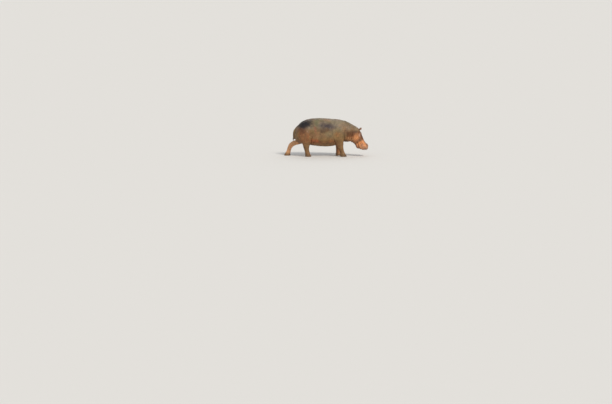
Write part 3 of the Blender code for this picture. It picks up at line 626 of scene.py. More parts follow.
class Sculpt:
    """A dense skin whose points move along their normals."""

    def __init__(self, mesh):
        self.mesh = mesh
        self.recess_shade = None
        self.reload()

    def reload(self):
        self.points, self.edges = read_mesh(self.mesh)
        self.refresh()

    def refresh(self):
        self.mesh.vertices.foreach_set("co", self.points.ravel())
        self.mesh.update()
        normals = np.empty(len(self.points) * 3)
        self.mesh.vertex_normals.foreach_get("vector", normals)
        self.normals = normals.reshape(-1, 3)
        self.s, self.f, self.z, self.u, self.v = body_coordinates(self.points)
        self.move = np.zeros(len(self.points))
        if self.recess_shade is None or len(self.recess_shade) != len(self.points):
            self.recess_shade = np.zeros(len(self.points))

    def apply(self):
        self.points = self.points + self.normals * self.move[:, None]
        self.refresh()

    def crease(self, a, b, path, width, depth, lip=0.35, fade=(0.15, 0.15), where=None, seed=0, wander=0.0):
        """A valley along a path in the plane of a and b, with a soft lip each side."""
        low = np.min(np.asarray(path), axis=0) - 6 * width - wander
        high = np.max(np.asarray(path), axis=0) + 6 * width + wander
        near = (a > low[0]) & (a < high[0]) & (b > low[1]) & (b < high[1])
        if where is not None:
            near &= where > 0
        index = np.nonzero(near)[0]
        if not len(index):
            return
        p = self.points[index]
        shift = np.zeros((2, len(index)))
        if wander:
            shift[0] = wander * noise(p, 6 * width + 0.02, seed + 31)
            shift[1] = wander * noise(p, 6 * width + 0.02, seed + 47)
        d, t = path_distance(a[index] + shift[0], b[index] + shift[1], path)
        ends = np.ones(len(index))
        if fade[0] > 0:
            ends *= smoothstep(0, fade[0], t)
        if fade[1] > 0:
            ends *= 1 - smoothstep(1 - fade[1], 1, t)
        if wander:
            ends *= np.clip(0.78 + 0.5 * noise(p, 0.07, seed + 5), 0.25, 1.2)
        if where is not None:
            ends = ends * np.asarray(where, float)[index]
        valley = np.exp(-np.abs(d / width) ** 1.6)
        ridge = np.exp(-(((d - 2.1 * width) / (1.3 * width)) ** 2))
        self.move[index] += depth * ends * (-valley + lip * ridge)
        # The valley is also marked for painted shade in the hide's colour.
        self.recess_shade[index] = np.maximum(self.recess_shade[index], ends * valley * min(1.0, depth / 0.010))

    def finer(self, chosen):
        """Halves the edges round the chosen points."""
        bm = bmesh.new()
        bm.from_mesh(self.mesh)
        layer = bm.verts.layers.float.new("recess_shade")
        bm.verts.ensure_lookup_table()
        for i in np.nonzero(self.recess_shade > 0)[0]:
            bm.verts[i][layer] = self.recess_shade[i]
        edges = [e for e in bm.edges if chosen[e.verts[0].index] and chosen[e.verts[1].index]]
        bmesh.ops.subdivide_edges(bm, edges=edges, cuts=1, use_grid_fill=True, smooth=0.0)
        bmesh.ops.triangulate(bm, faces=[f for f in bm.faces if len(f.verts) > 4])
        recess_shade = np.array([v[layer] for v in bm.verts])
        bm.to_mesh(self.mesh)
        bm.free()
        self.recess_shade = recess_shade
        self.reload()


def ear_frame(side):
    base = world(*head(EAR_U, EAR_V - 0.024, side * EAR_S))
    along = (world(*head(EAR_U - 0.01, EAR_V + 1.0, side * (EAR_S + 0.30))) - base).normalized()
    opening = world(*head(EAR_U + 0.80, EAR_V, side * (EAR_S + 0.62))) - base
    across = opening.cross(along).normalized()
    opening = along.cross(across)
    return base, Matrix((across, opening, along)).transposed().to_4x4()


def fine_ear(side):
    """The ear with a thick rolled rim and a deep hollow."""
    bm = bmesh.new()
    bmesh.ops.create_uvsphere(bm, u_segments=72, v_segments=56, radius=1.0)
    for vert in bm.verts:
        x, y, z = vert.co
        around = math.hypot(x, y)
        fuller = math.sqrt(max(0.0, 1 - z * z)) ** 0.72 / around if around > 1e-4 else 0.0
        x, y = x * fuller, y * min(fuller, 1.25)
        width = EAR_WIDTH / 2 * (1 - 0.24 * max(0.0, -z))
        rim = 1.0 + 0.25 * smoothstep(0.7, 1.0, abs(x))
        vert.co = Vector(
            (
                x * width,
                y * (EAR_THICK / 2 + 0.001 + 0.016 * max(0.0, -z)) * rim + 0.36 * width * x * x - 0.006 * z * z,
                (z + 1) * EAR_LENGTH / 2,
            )
        )
    base, turn = ear_frame(side)
    bmesh.ops.transform(bm, matrix=Matrix.Translation(base) @ turn, verts=bm.verts)
    return mass_object("ear_fine", bm)


def eye_frame(side):
    """Centre of the eyeball and the axes of its opening: along the slit, up, out."""
    centre = world(*head(EYE_U, EYE_V, side * EYE_S))
    out = (world(*head(EYE_U + 0.16, EYE_V + 0.26, side * (EYE_S + 1.0))) - centre).normalized()
    along = world(*head(EYE_U + 1.0, EYE_V - 0.10, side * EYE_S)) - centre
    along = (along - along.dot(out) * out).normalized()
    up = out.cross(along) * side
    if up.dot(world(*head(EYE_U, EYE_V + 1.0, side * EYE_S)) - centre) < 0:
        up = -up
    return centre, along, up, out


def remeshed(obj, voxel):
    modifier = obj.modifiers.new("remesh", "REMESH")
    modifier.mode = "VOXEL"
    modifier.voxel_size = voxel
    graph = bpy.context.evaluated_depsgraph_get()
    mesh = bpy.data.meshes.new_from_object(obj.evaluated_get(graph))
    obj.modifiers.clear()
    old, obj.data = obj.data, mesh
    bpy.data.meshes.remove(old)


def head_here(k):
    return smoothstep(-0.12, 0.05, k.u) * smoothstep(1.22, 1.36, k.f)


def sculpt_body(k):
    f, z = k.f, k.z
    # Deep soft swells of the neck between its folds.
    swell = smoothstep(0.98, 1.08, f) * (1 - smoothstep(1.24, 1.36, f)) * smoothstep(0.95, 0.62, z)
    k.move += 0.010 * swell * noise(k.points, 0.11, 41)
    k.apply()

    s, f, z = k.s, k.f, k.z
    side = np.abs(s)
    lateral = smoothstep(0.05, 0.14, side)
    # Fold before the shoulder, folds of the neck, deepest at the throat.
    k.crease(f, z, ((0.985, 1.215), (0.965, 1.05), (0.940, 0.85), (0.922, 0.66), (0.90, 0.55)), 0.019, 0.019, where=lateral, fade=(0.45, 0.12), seed=1, wander=0.014)
    k.crease(f, z, ((1.085, 1.02), (1.060, 0.88), (1.032, 0.72), (1.010, 0.52)), 0.012, 0.011, fade=(0.6, 0.0), seed=2, wander=0.016)
    k.crease(f, z, ((1.185, 0.98), (1.150, 0.86), (1.118, 0.70), (1.095, 0.50)), 0.015, 0.016, fade=(0.55, 0.0), seed=3, wander=0.016)
    k.crease(f, z, ((1.290, 1.07), (1.238, 0.90), (1.190, 0.70), (1.160, 0.50)), 0.013, 0.016, fade=(0.35, 0.0), seed=4, wander=0.012)
    k.crease(f, z, ((1.340, 0.98), (1.290, 0.84), (1.250, 0.68), (1.225, 0.52)), 0.011, 0.009, fade=(0.45, 0.0), seed=6, wander=0.012)
    # Shallow slack lines between them, and over the nape.
    for i, (f0, top, depth) in enumerate(((1.015, 1.25, 0.004), (1.055, 1.22, 0.0035), (1.10, 1.28, 0.0045), (1.15, 1.22, 0.0035), (1.205, 1.30, 0.005), (1.25, 1.27, 0.0045), (1.29, 1.27, 0.0045))):
        k.crease(f, z, ((f0 + 0.045, top), (f0, top - 0.22), (f0 - 0.05, top - 0.50)), 0.0095, depth, fade=(0.2 if i % 2 else 0.0, 0.5), seed=60 + i, wander=0.018)
    # Armpits and the chest.
    k.crease(f, z, ((0.520, 0.74), (0.550, 0.60), (0.600, 0.470)), 0.018, 0.016, where=lateral, fade=(0.5, 0.1), seed=7, wander=0.012)
    k.crease(f, z, ((0.478, 0.64), (0.515, 0.52), (0.570, 0.425)), 0.012, 0.009, where=lateral, fade=(0.5, 0.1), seed=8, wander=0.012)
    k.crease(f, z, ((0.440, 0.56), (0.475, 0.47), (0.53, 0.40)), 0.010, 0.005, where=lateral, fade=(0.5, 0.1), seed=9, wander=0.012)
    k.crease(f, z, ((0.885, 0.70), (0.905, 0.60), (0.895, 0.49)), 0.014, 0.012, where=lateral, fade=(0.5, 0.1), seed=10, wander=0.010)
    # Fold from the thigh to the belly.
    k.crease(f, z, ((-0.275, 0.86), (-0.320, 0.66), (-0.340, 0.53), (-0.370, 0.42)), 0.021, 0.021, where=lateral, fade=(0.5, 0.08), seed=11, wander=0.014)
    k.crease(f, z, ((-0.215, 0.66), (-0.255, 0.53), (-0.305, 0.42)), 0.013, 0.010, where=lateral, fade=(0.5, 0.1), seed=12, wander=0.014)
    k.crease(f, z, ((-0.160, 0.58), (-0.200, 0.48), (-0.25, 0.40)), 0.011, 0.005, where=lateral, fade=(0.5, 0.1), seed=13, wander=0.014)
    # Behind the thigh.
    k.crease(f, z, ((-0.765, 0.80), (-0.735, 0.68), (-0.715, 0.56)), 0.014, 0.008, where=lateral, fade=(0.5, 0.2), seed=14, wander=0.012)
    # Slack lines on the flank and across the shoulder.
    for i, (f0, z0, length, depth) in enumerate(((0.66, 1.12, 0.30, 0.0055), (0.60, 1.02, 0.34, 0.005), (0.49, 0.90, 0.34, 0.006), (0.43, 0.80, 0.28, 0.0045), (0.36, 0.70, 0.20, 0.0035), (-0.10, 0.70, 0.22, 0.004), (-0.22, 0.92, 0.26, 0.004), (-0.40, 1.02, 0.30, 0.0055), (-0.46, 0.95, 0.34, 0.0045), (-0.52, 0.72, 0.18, 0.004), (-0.70, 0.98, 0.30, 0.0045), (-0.80, 0.92, 0.26, 0.004))):
        k.crease(f, z, ((f0, z0), (f0 + 0.012, z0 - length / 2), (f0 - 0.006, z0 - length)), 0.011, depth, where=lateral, fade=(0.5, 0.5), seed=80 + i, wander=0.022)

    right, left = (s < -0.05).astype(float), (s > 0.05).astype(float)
    low = (z < 0.5).astype(float)
    # Folds round the joints of the legs: centre line f, height, slope, depth.
    for where, rows in (
        (right, ((0.760, 0.425, 0.20, 0.006), (0.775, 0.335, -0.15, 0.004), (0.800, 0.285, 0.10, 0.006), (0.835, 0.200, -0.12, 0.004), (0.852, 0.158, 0.10, 0.0065), (0.862, 0.122, -0.10, 0.004))),
        (left * (f > 0.3), ((0.712, 0.420, 0.18, 0.006), (0.708, 0.335, -0.15, 0.004), (0.700, 0.285, 0.12, 0.006), (0.698, 0.200, -0.12, 0.004), (0.700, 0.158, 0.12, 0.0065), (0.702, 0.122, -0.10, 0.004))),
        (right * (f < 0), ((-0.525, 0.450, 0.18, 0.005), (-0.525, 0.345, -0.18, 0.005), (-0.505, 0.285, 0.10, 0.004), (-0.492, 0.190, -0.12, 0.004), (-0.482, 0.148, 0.12, 0.0065), (-0.476, 0.112, -0.08, 0.004))),
    ):
        for i, (mid, height, slope, depth) in enumerate(rows):
            broken = 0.25 + 0.75 * smoothstep(-0.35, 0.30, noise(k.points, 0.085, 140 + i))
            k.crease(f, z, ((mid - 0.16, height - 0.16 * slope), (mid, height), (mid + 0.16, height + 0.16 * slope)), 0.0085, 0.85 * depth, where=where * low * broken, fade=(0, 0), seed=100 + i, wander=0.016)
    far = left * (f < -0.3)
    for i, (ring, depth) in enumerate((
        (((-0.90, 0.36), (-0.95, 0.60)), 0.006),
        (((-1.00, 0.34), (-1.09, 0.54)), 0.006),
        (((-1.03, 0.31), (-1.16, 0.46)), 0.0045),
        (((-1.05, 0.27), (-1.26, 0.34)), 0.006),
        (((-1.06, 0.215), (-1.28, 0.25)), 0.004),
        (((-1.08, 0.155), (-1.31, 0.195)), 0.006),
        (((-1.12, 0.115), (-1.33, 0.150)), 0.0045),
    )):
        broken = 0.25 + 0.75 * smoothstep(-0.35, 0.30, noise(k.points, 0.085, 150 + i))
        k.crease(f, z, ring, 0.0085, 0.75 * depth, where=far * broken, fade=(0, 0), seed=120 + i, wander=0.016)
    k.crease(f, z, ((-0.84, 0.76), (-0.80, 0.66), (-0.86, 0.56)), 0.018, 0.014, where=left, fade=(0.4, 0.2), seed=15, wander=0.01)
    k.apply()


MOUTH = ((0.74, -0.020), (0.660, -0.044), (0.612, -0.064), (0.568, -0.088), (0.515, -0.106), (0.450, -0.108), (0.380, -0.094), (0.310, -0.075), (0.250, -0.058), (0.222, -0.044))


def sculpt_head(k):
    s, u, v = k.s, k.u, k.v
    face = (k.f > 1.1).astype(float)
    k.move += 0.004 * np.exp(-((s / 0.020) ** 2)) * smoothstep(0.12, 0.2, u) * (1 - smoothstep(0.40, 0.46, u)) * smoothstep(0.10, 0.16, v) * face
    # A shallow furrow down the middle of the muzzle's front.
    k.move -= 0.009 * np.exp(-((s / 0.016) ** 2)) * smoothstep(0.60, 0.66, u) * smoothstep(-0.02, 0.04, v) * face
    k.apply()

    u, v = k.u, k.v
    face = (k.f > 1.1).astype(float)
    # Folds round the corner of the mouth and down the cheek.
    k.crease(u, v, ((0.236, 0.000), (0.206, -0.040), (0.200, -0.090), (0.220, -0.135)), 0.009, 0.013, where=face, fade=(0.35, 0.35), seed=20, wander=0.006)
    k.crease(u, v, ((0.205, 0.020), (0.170, -0.040), (0.163, -0.100), (0.185, -0.170)), 0.009, 0.008, where=face, fade=(0.35, 0.4), seed=21, wander=0.008)
    k.crease(u, v, ((0.150, 0.010), (0.118, -0.050), (0.112, -0.130), (0.135, -0.205)), 0.010, 0.005, where=face, fade=(0.35, 0.4), seed=22, wander=0.010)
    # The fold across the side of the muzzle, and finer ones about it.
    outer = smoothstep(0.10, 0.16, np.abs(s)) * face
    k.crease(u, v, ((0.372, 0.130), (0.392, 0.070), (0.425, 0.000), (0.475, -0.060)), 0.012, 0.011, where=outer, fade=(0.3, 0.45), seed=23, wander=0.006)
    k.crease(u, v, ((0.330, 0.110), (0.340, 0.050), (0.362, -0.030)), 0.010, 0.007, where=outer, fade=(0.3, 0.4), seed=24, wander=0.008)
    k.crease(u, v, ((0.290, 0.090), (0.296, 0.040), (0.315, -0.030)), 0.008, 0.004, where=outer, fade=(0.3, 0.4), seed=25, wander=0.008)
    k.crease(u, v, ((0.45, 0.135), (0.475, 0.085), (0.52, 0.035)), 0.008, 0.004, where=outer, fade=(0.3, 0.5), seed=26, wander=0.008)
    # Where the throat meets the jaw.
    k.crease(u, v, ((0.075, -0.150), (0.130, -0.205), (0.190, -0.225), (0.215, -0.260)), 0.013, 0.013, where=face, fade=(0.4, 0.0), seed=27, wander=0.010)
    k.crease(u, v, ((-0.02, -0.12), (0.010, -0.20), (0.060, -0.255), (0.09, -0.30)), 0.013, 0.011, where=face, fade=(0.4, 0.0), seed=28, wander=0.010)
    k.crease(u, v, ((-0.10, 0.02), (-0.075, -0.08), (-0.05, -0.18), (-0.02, -0.28)), 0.012, 0.006, where=face, fade=(0.4, 0.1), seed=29, wander=0.014)
    # Wrinkles over the nose and between the eyes, seen from above.
    top = smoothstep(0.10, 0.15, v) * face
    for i, (place, spread, depth, off) in enumerate(((0.118, 0.060, 0.0034, 0.008), (0.152, 0.075, 0.0026, -0.012), (0.186, 0.065, 0.0034, 0.010), (0.232, 0.075, 0.0022, -0.006), (0.300, 0.070, 0.0022, 0.012), (-0.070, 0.055, 0.003, 0.0), (-0.108, 0.055, 0.003, 0.0))):
        bow = 0.014 + 0.004 * (i % 3)
        k.crease(u, s, ((place - bow, off - spread), (place, off - spread * 0.4), (place, off + spread * 0.4), (place - bow, off + spread)), 0.0065, depth, where=top, fade=(0.3, 0.3), seed=130 + i, wander=0.014)
    k.apply()


def sculpt_mouth(k):
    s, u, v = k.s, k.u, k.v
    face = (k.f > 1.1).astype(float)
    # The mouth: the upper lip hangs over the lower.
    d, t = path_distance(u, v, MOUTH)
    rows = smooth_path(MOUTH)
    lip_line = np.interp(u, rows[::-1, 0], rows[::-1, 1])
    above = v - lip_line
    reach = smoothstep(0.215, 0.30, u) * face
    k.move += reach * (0.014 - 0.010 * smoothstep(0.52, 0.62, u)) * np.exp(-(((above - 0.026) / 0.028) ** 2)) * smoothstep(-0.010, 0.010, above)
    k.move -= reach * 0.017 * smoothstep(0.010, -0.008, above) * (1 - smoothstep(0.03, 0.090, -above))
    k.apply()
    s, u, v = k.s, k.u, k.v
    k.crease(u, v, MOUTH, 0.0065, 0.017, lip=0.0, fade=(0.28, 0.06), where=face)
    k.apply()


def sculpt_nostrils(k):
    """A crescent slit in each mound, its rim raised."""
    for way in (-1, 1):
        s = k.s * way
        near = np.nonzero((k.u > 0.46) & (k.u < 0.66) & (k.v > 0.10) & (s > 0.0) & (s < 0.18))[0]
        u, sn = k.u[near], s[near]
        # The slit runs from its fore inner end outwards and back.
        path = ((0.588, 0.070), (0.578, 0.085), (0.556, 0.098), (0.530, 0.103))
        d, t = path_distance(u, sn, path)
        width = 0.0085 * (1 - 0.45 * np.abs(2 * t - 1) ** 2)
        hole = np.exp(-((d / width) ** 4))
        rim = np.exp(-(((d - 0.018) / 0.010) ** 2))
        k.move[near] += -0.026 * hole + 0.007 * rim * smoothstep(0.12, 0.16, k.v[near])
        # The slit is painted near black: painted shade.
        k.recess_shade[near] = np.maximum(k.recess_shade[near], 1.6 * np.exp(-((d / 0.0085) ** 4)))
    k.apply()


def sculpt_eyes(k):
    """Lids that hug each eyeball round an almond-shaped opening."""
    for side in (-1, 1):
        centre, along, up, out = eye_frame(side)
        rel = k.points - np.array(centre)
        near = np.nonzero((np.linalg.norm(rel, axis=1) < 0.085) & (rel @ np.array(out) > -0.02))[0]
        rel = rel[near]
        a, b, c = rel @ np.array(along), rel @ np.array(up), rel @ np.array(out)
        r = EYE_RADIUS
        # Half length and half height of the opening, pointed toward its corners.
        half = 0.0205
        rise = np.where(b > 0, 0.0115, 0.0100) * np.sqrt(np.clip(1 - (a / half) ** 2, 0.0, 1.0))
        rise = np.maximum(rise, 1e-4)
        # Signed distance outside the opening, roughly in metres.
        gap = np.where(np.abs(a) < half, np.abs(b) - rise, np.hypot(np.abs(a) - half, b))
        ball = np.sqrt(np.clip((r + 0.0012) ** 2 - a * a - b * b, 0.0, None))
        edge = np.sqrt(np.clip((r + 0.0042) ** 2 - a * a - b * b, 0.0, None))
        # Over the ball the lid lies a little outside it; further away it joins the face.
        lid = np.where(np.hypot(a, b) < r + 0.0038, edge, c)
        blend = 1 - smoothstep(0.010, 0.030, gap)
        target = c + (np.maximum(lid, 0.4 * r) - c) * blend
        target = np.where(gap < 0.030, target, c)
        # Rounded lid rim and the opening itself, sunk inside the ball.
        inside = smoothstep(0.0012, -0.0018, gap)
        target = target * (1 - inside) + (ball - 0.0075) * inside
        # Folds round the lids.
        fold_up = np.exp(-(((gap - 0.0095) / 0.0028) ** 2)) * (b > -0.004)
        fold_down = np.exp(-(((gap - 0.0110) / 0.0030) ** 2)) * (b < 0.002)
        fold_far = np.exp(-(((gap - 0.0200) / 0.0034) ** 2))
        roll = np.exp(-(((gap - 0.0040) / 0.0030) ** 2)) * (gap > 0)
        target += 0.0012 * roll - 0.0032 * fold_up - 0.0026 * fold_down - 0.0018 * fold_far
        step = (target - c)[:, None] * np.array(out)[None, :]
        k.points[near] += step
        # Painted shade in the lid opening and the folds round it.
        k.recess_shade[near] = np.maximum(k.recess_shade[near], 0.85 * np.exp(-((np.clip(gap, 0, None) / 0.0030) ** 2)))
        k.recess_shade[near] = np.maximum(k.recess_shade[near], 0.6 * np.maximum(fold_up, fold_down))
    k.refresh()


def sculpt_toes(k):
    """Clefts between the toes, and the cuff of skin above each nail."""
    # The clefts and a ring round each nail's cuff get painted shade in the hide's colour.
    for foot, (s0, f0, size) in FEET.items():
        near = np.nonzero((np.hypot(k.s - s0, k.f - f0) < 0.17) & (k.z < 0.12))[0]
        s, f, z = k.s[near], k.f[near], k.z[near]
        bearing = np.degrees(np.arctan2(s - s0, f - f0 + 0.01))
        radius = np.hypot(s - s0, f - f0)
        for a in (-37.5, 0.0, 37.5):
            off = np.radians(np.abs(bearing - a)) * radius
            k.move[near] -= 0.012 * np.exp(-np.abs(off / 0.0075) ** 1.5) * smoothstep(0.05, 0.08, radius) * smoothstep(0.098, 0.055, z)
            k.recess_shade[near] = np.maximum(k.recess_shade[near], 0.8 * np.exp(-((off / 0.008) ** 2)) * smoothstep(0.05, 0.08, radius) * smoothstep(0.10, 0.05, z))
        for i in range(4):
            place, heading = nail_place(foot, i)
            d = np.linalg.norm(k.points[near] - np.array(place), axis=1)
            k.move[near] += 0.0045 * np.exp(-(((d - 0.034 * size) / 0.009) ** 2)) * smoothstep(0.02, 0.045, z)
            k.recess_shade[near] = np.maximum(k.recess_shade[near], 0.7 * np.exp(-(((d - 0.024 * size) / 0.006) ** 2)))
    k.apply()


def nail_place(foot, index):
    size = FEET[foot][2] * (1.0 if abs(TOE_ANGLES[index]) < 40 else 0.88)
    (s, f, z), heading = toe_place(foot, index)
    turn = math.radians(heading)
    reach = 0.042 * FEET[foot][2]
    return world(s + math.sin(turn) * reach, f + math.cos(turn) * reach, 0.026 * size), heading


def wrinkle(k):
    """Lumps and slack of the hide, a few millimetres high."""
    f, z = k.f, k.z
    p = k.points
    on_head = head_here(k)
    legs_here = (1 - smoothstep(0.40, 0.56, z)) * (1 - on_head) * (f < 1.1)
    neck_here = smoothstep(0.90, 1.00, f) * (1 - smoothstep(1.28, 1.40, f)) * (1 - on_head)
    flank = (1 - legs_here) * (1 - on_head) * (1 - neck_here)
    warp = p + 0.020 * np.stack([noise(p, 0.09, 51), noise(p, 0.09, 52), noise(p, 0.09, 53)], axis=1)
    k.move += 0.0040 * noise(p, 0.19, 3) + 0.0022 * noise(p, 0.085, 5)
    ridged = lambda n: 1 - 2.2 * np.abs(n)
    upright = ridged(noise(warp, 0.060, 11, stretch=(1.0, 1.7, 0.55)))
    level = ridged(noise(warp, 0.055, 13, stretch=(0.6, 0.6, 1.9)))
    net = ridged(noise(warp, 0.034, 17))
    k.move += flank * (0.0017 * upright + 0.0008 * net) * (0.7 + 0.6 * noise(p, 0.3, 9))
    k.move += legs_here * (0.0015 * level + 0.0008 * net)
    k.move += neck_here * (0.0024 * upright + 0.0009 * net)
    k.move += on_head * (0.0008 * net + 0.0007 * ridged(noise(warp, 0.020, 19)))
    k.apply()


def make_skin(voxel=0.0066):
    masses = trunk_masses() + head_masses() + legs() + feet() + [tail_mass()]
    body = muscled(fused(masses, 0.012))
    for side in (-1, 1):
        ear = fine_ear(side)
        join = bmesh.new()
        join.from_mesh(body.data)
        join.from_mesh(ear.data)
        join.to_mesh(body.data)
        join.free()
        bpy.data.objects.remove(ear)
    remeshed(body, voxel)
    k = Sculpt(body.data)
    k.points = relax(k.points, k.edges, np.full(len(k.points), 0.5), 4)
    k.refresh()
    sculpt_body(k)
    sculpt_head(k)
    wrinkle(k)
    return body, k


def eye_distance(k):
    d = np.full(len(k.points), 9.0)
    for side in (-1, 1):
        d = np.minimum(d, np.linalg.norm(k.points - np.array(eye_frame(side)[0]), axis=1))
    return d


def nostril_here(k):
    return (k.u > 0.50) & (k.u < 0.62) & (k.v > 0.14) & (np.abs(k.s) > 0.04) & (np.abs(k.s) < 0.13) & (k.f > 1.2)


def finish_detail(body, k):
    """Finer mesh where the small forms are, then those forms."""
    d, t = path_distance(k.u, k.v, MOUTH)
    lips = (d < 0.030) & (k.f > 1.2) & (k.u > 0.2)
    feet_here = (k.z < 0.105) & (k.f < 1.0)
    for foot, (s0, f0, size) in FEET.items():
        feet_here &= ~((np.hypot(k.s - s0, k.f - f0) < 0.15) & (k.f < f0 - 0.02))
    nostril = (k.u > 0.48) & (k.u < 0.64) & (k.v > 0.12) & (k.f > 1.2)
    k.finer(lips | feet_here | nostril | (eye_distance(k) < 0.065))
    k.finer(nostril_here(k) | (eye_distance(k) < 0.050))
    k.points = relax(k.points, k.edges, 0.5 * ((eye_distance(k) < 0.065) | nostril_here(k)), 3)
    k.refresh()
    sculpt_eyes(k)
    soft = np.where(eye_distance(k) < 0.05, 0.25, 0.0)
    k.points = relax(k.points, k.edges, soft, 2)
    k.refresh()
    sculpt_mouth(k)
    d, t = path_distance(k.u, k.v, MOUTH)
    k.points = relax(k.points, k.edges, 0.45 * ((d < 0.026) & (k.f > 1.2) & (k.u > 0.2)), 3)
    k.refresh()
    sculpt_nostrils(k)
    sculpt_toes(k)
    small = (k.z < 0.10) & (k.f < 1.0) | nostril_here(k)
    k.points = relax(k.points, k.edges, 0.3 * small, 2)
    k.points[:, 2] = np.maximum(k.points[:, 2], 0.0)
    k.refresh()

# ------------------------------------------------------------------ colours

OLIVE = (0.205, 0.160, 0.082)
GREY = (0.235, 0.182, 0.115)
FLANK = (0.250, 0.150, 0.056)
LOW_FLANK = (0.205, 0.108, 0.032)
ORANGE = (0.700, 0.290, 0.105)
TAN = (0.265, 0.150, 0.058)


def mixed(colour, other, share):
    share = np.clip(share, 0, 1)[:, None]
    return colour * (1 - share) + np.asarray(other) * share


def hide_colours(k):
    """The hide's colour at every point, from where it lies on the body."""
    p = k.points
    f = k.f + 0.050 * noise(p, 0.17, 61) + 0.018 * noise(p, 0.055, 62)
    z = k.z + 0.050 * noise(p, 0.17, 63) + 0.018 * noise(p, 0.055, 64)
    s, u, v = k.s, k.u, k.v
    side = np.abs(s)
    right = smoothstep(0.02, -0.10, s)
    up = k.normals[:, 2]
    outward = k.normals[:, 0] * np.sign(s)

    ragged = 0.30 * noise(p, 0.110, 79) + 0.38 * noise(p, 0.052, 77) + 0.26 * noise(p, 0.021, 78)

    def blob(f0, z0, rf, rz, lean=0.0):
        df, dz = f - f0, z - z0
        df = df + lean * dz
        return np.exp(-np.clip((df / rf) ** 2 + (dz / rz) ** 2 + ragged - 0.12, 0.0, None) ** 1.5)

    c = np.tile(np.asarray(FLANK), (len(p), 1))
    c = mixed(c, LOW_FLANK, smoothstep(0.72, 0.45, z))
    c = mixed(c, GREY, smoothstep(0.94, 1.20, z + 0.08 * noise(p, 0.25, 65)))
    c = mixed(c, OLIVE, 0.75 * smoothstep(-0.1, 0.5, noise(p, 0.42, 66)) * smoothstep(0.6, 0.9, z))
    c = mixed(c, (0.255, 0.135, 0.066), 0.50 * smoothstep(0.05, 0.55, noise(p, 0.33, 67)))
    # A brown band below the back; a dark bluish patch of painted shadow on the
    # rump, a purple patch on the loins, a green and a pink streak, pale withers.
    c = mixed(c, (0.098, 0.048, 0.019), 0.85 * blob(0.16, 1.03, 0.28, 0.080))
    c = mixed(c, (0.255, 0.120, 0.062), 0.75 * blob(-0.17, 1.06, 0.065, 0.20, lean=0.1))
    c = mixed(c, (0.165, 0.176, 0.084), (0.35 + 0.20 * right) * blob(-0.13, 1.27, 0.08, 0.12))
    # Painted shadow on the rump, darker on the right side.
    c = mixed(c, (0.052, 0.032, 0.027), (0.35 + 0.45 * right) * blob(-0.60, 1.20, 0.30, 0.220, lean=-0.55))
    c = mixed(c, (0.010, 0.008, 0.011), (0.40 + 0.58 * right) * blob(-0.58, 1.23, 0.22, 0.150, lean=-0.55))
    c = mixed(c, (0.085, 0.054, 0.044), (0.30 + 0.45 * right) * blob(0.34, 1.18, 0.36, 0.110, lean=0.5))
    c = mixed(c, (0.040, 0.022, 0.024), (0.35 + 0.58 * right) * blob(0.31, 1.18, 0.25, 0.075, lean=0.6))
    c = mixed(c, (0.265, 0.215, 0.145), 0.55 * blob(0.68, 1.28, 0.20, 0.15))
    # Warm haunch and belly.
    c = mixed(c, (0.275, 0.112, 0.042), 0.80 * blob(-0.60, 0.76, 0.22, 0.26))
    c = mixed(c, (0.138, 0.050, 0.018), 0.80 * blob(-0.66, 0.97, 0.14, 0.10))
    c = mixed(c, (0.400, 0.230, 0.150), 0.60 * blob(-0.47, 0.94, 0.055, 0.040))
    c = mixed(c, (0.370, 0.115, 0.040), (0.30 + 0.65 * right) * blob(-0.14, 0.55, 0.20, 0.12, lean=0.7))
    c = mixed(c, (0.500, 0.135, 0.050), (0.20 + 0.65 * right) * blob(-0.10, 0.53, 0.12, 0.055, lean=0.7))
    c = mixed(c, (0.200, 0.078, 0.027), 0.60 * smoothstep(0.25, -0.55, up) * smoothstep(0.75, 0.5, k.z) * (k.f < 1.0))
    # Legs: tan outside, pinkish orange inside and on the far hind leg, dusty below. The far hind leg's inner side is
    # its pinkish colour made much brighter with painted sunlight.
    leg = smoothstep(0.60, 0.40, z) * (k.f < 1.02) * smoothstep(0.07, 0.14, side)
    c = mixed(c, TAN, 0.85 * leg)
    inner = smoothstep(0.30, -0.50, outward)
    c = mixed(c, (0.440, 0.210, 0.080), 0.70 * leg * inner)
    stretched = smoothstep(-0.78, -0.92, f) * smoothstep(0.05, 0.16, s) * smoothstep(0.66, 0.50, z)
    # Inner side of the far hind leg: pinkish orange plus painted sunlight.
    c = mixed(c, (0.800, 0.440, 0.215), 0.92 * stretched * smoothstep(0.65, -0.2, outward) * smoothstep(0.05, 0.16, k.z))
    c = mixed(c, (0.360, 0.165, 0.066), 0.60 * stretched * smoothstep(-0.2, 0.65, outward))
    c = mixed(c, (0.175, 0.112, 0.058), 0.60 * leg * smoothstep(0.15, 0.04, k.z))
    c = mixed(c, (0.085, 0.060, 0.045), smoothstep(-0.6, -0.9, up) * (k.z < 0.02))
    # Neck and throat; the throat's bright orange patch is partly its pinkish colour and partly painted light.
    neck = smoothstep(0.93, 1.05, k.f)
    c = mixed(c, (0.128, 0.055, 0.016), 0.94 * neck * smoothstep(1.06, 0.90, z))
    # Painted light on the throat, over its pinkish colour.
    c = mixed(c, (0.550, 0.285, 0.122), 0.85 * neck * blob(1.16, 0.65, 0.13, 0.10))
    # Head.
    head_here_now = smoothstep(-0.16, 0.02, u) * smoothstep(1.18, 1.34, k.f)
    c = mixed(c, (0.330, 0.140, 0.052), 0.85 * head_here_now)

    uw = u + 0.018 * noise(p, 0.07, 71)
    vw = v + 0.018 * noise(p, 0.07, 72)

    def spot(u0, v0, ru, rv):
        return np.exp(-(((uw - u0) / ru) ** 2 + ((vw - v0) / rv) ** 2) ** 1.3) * head_here_now

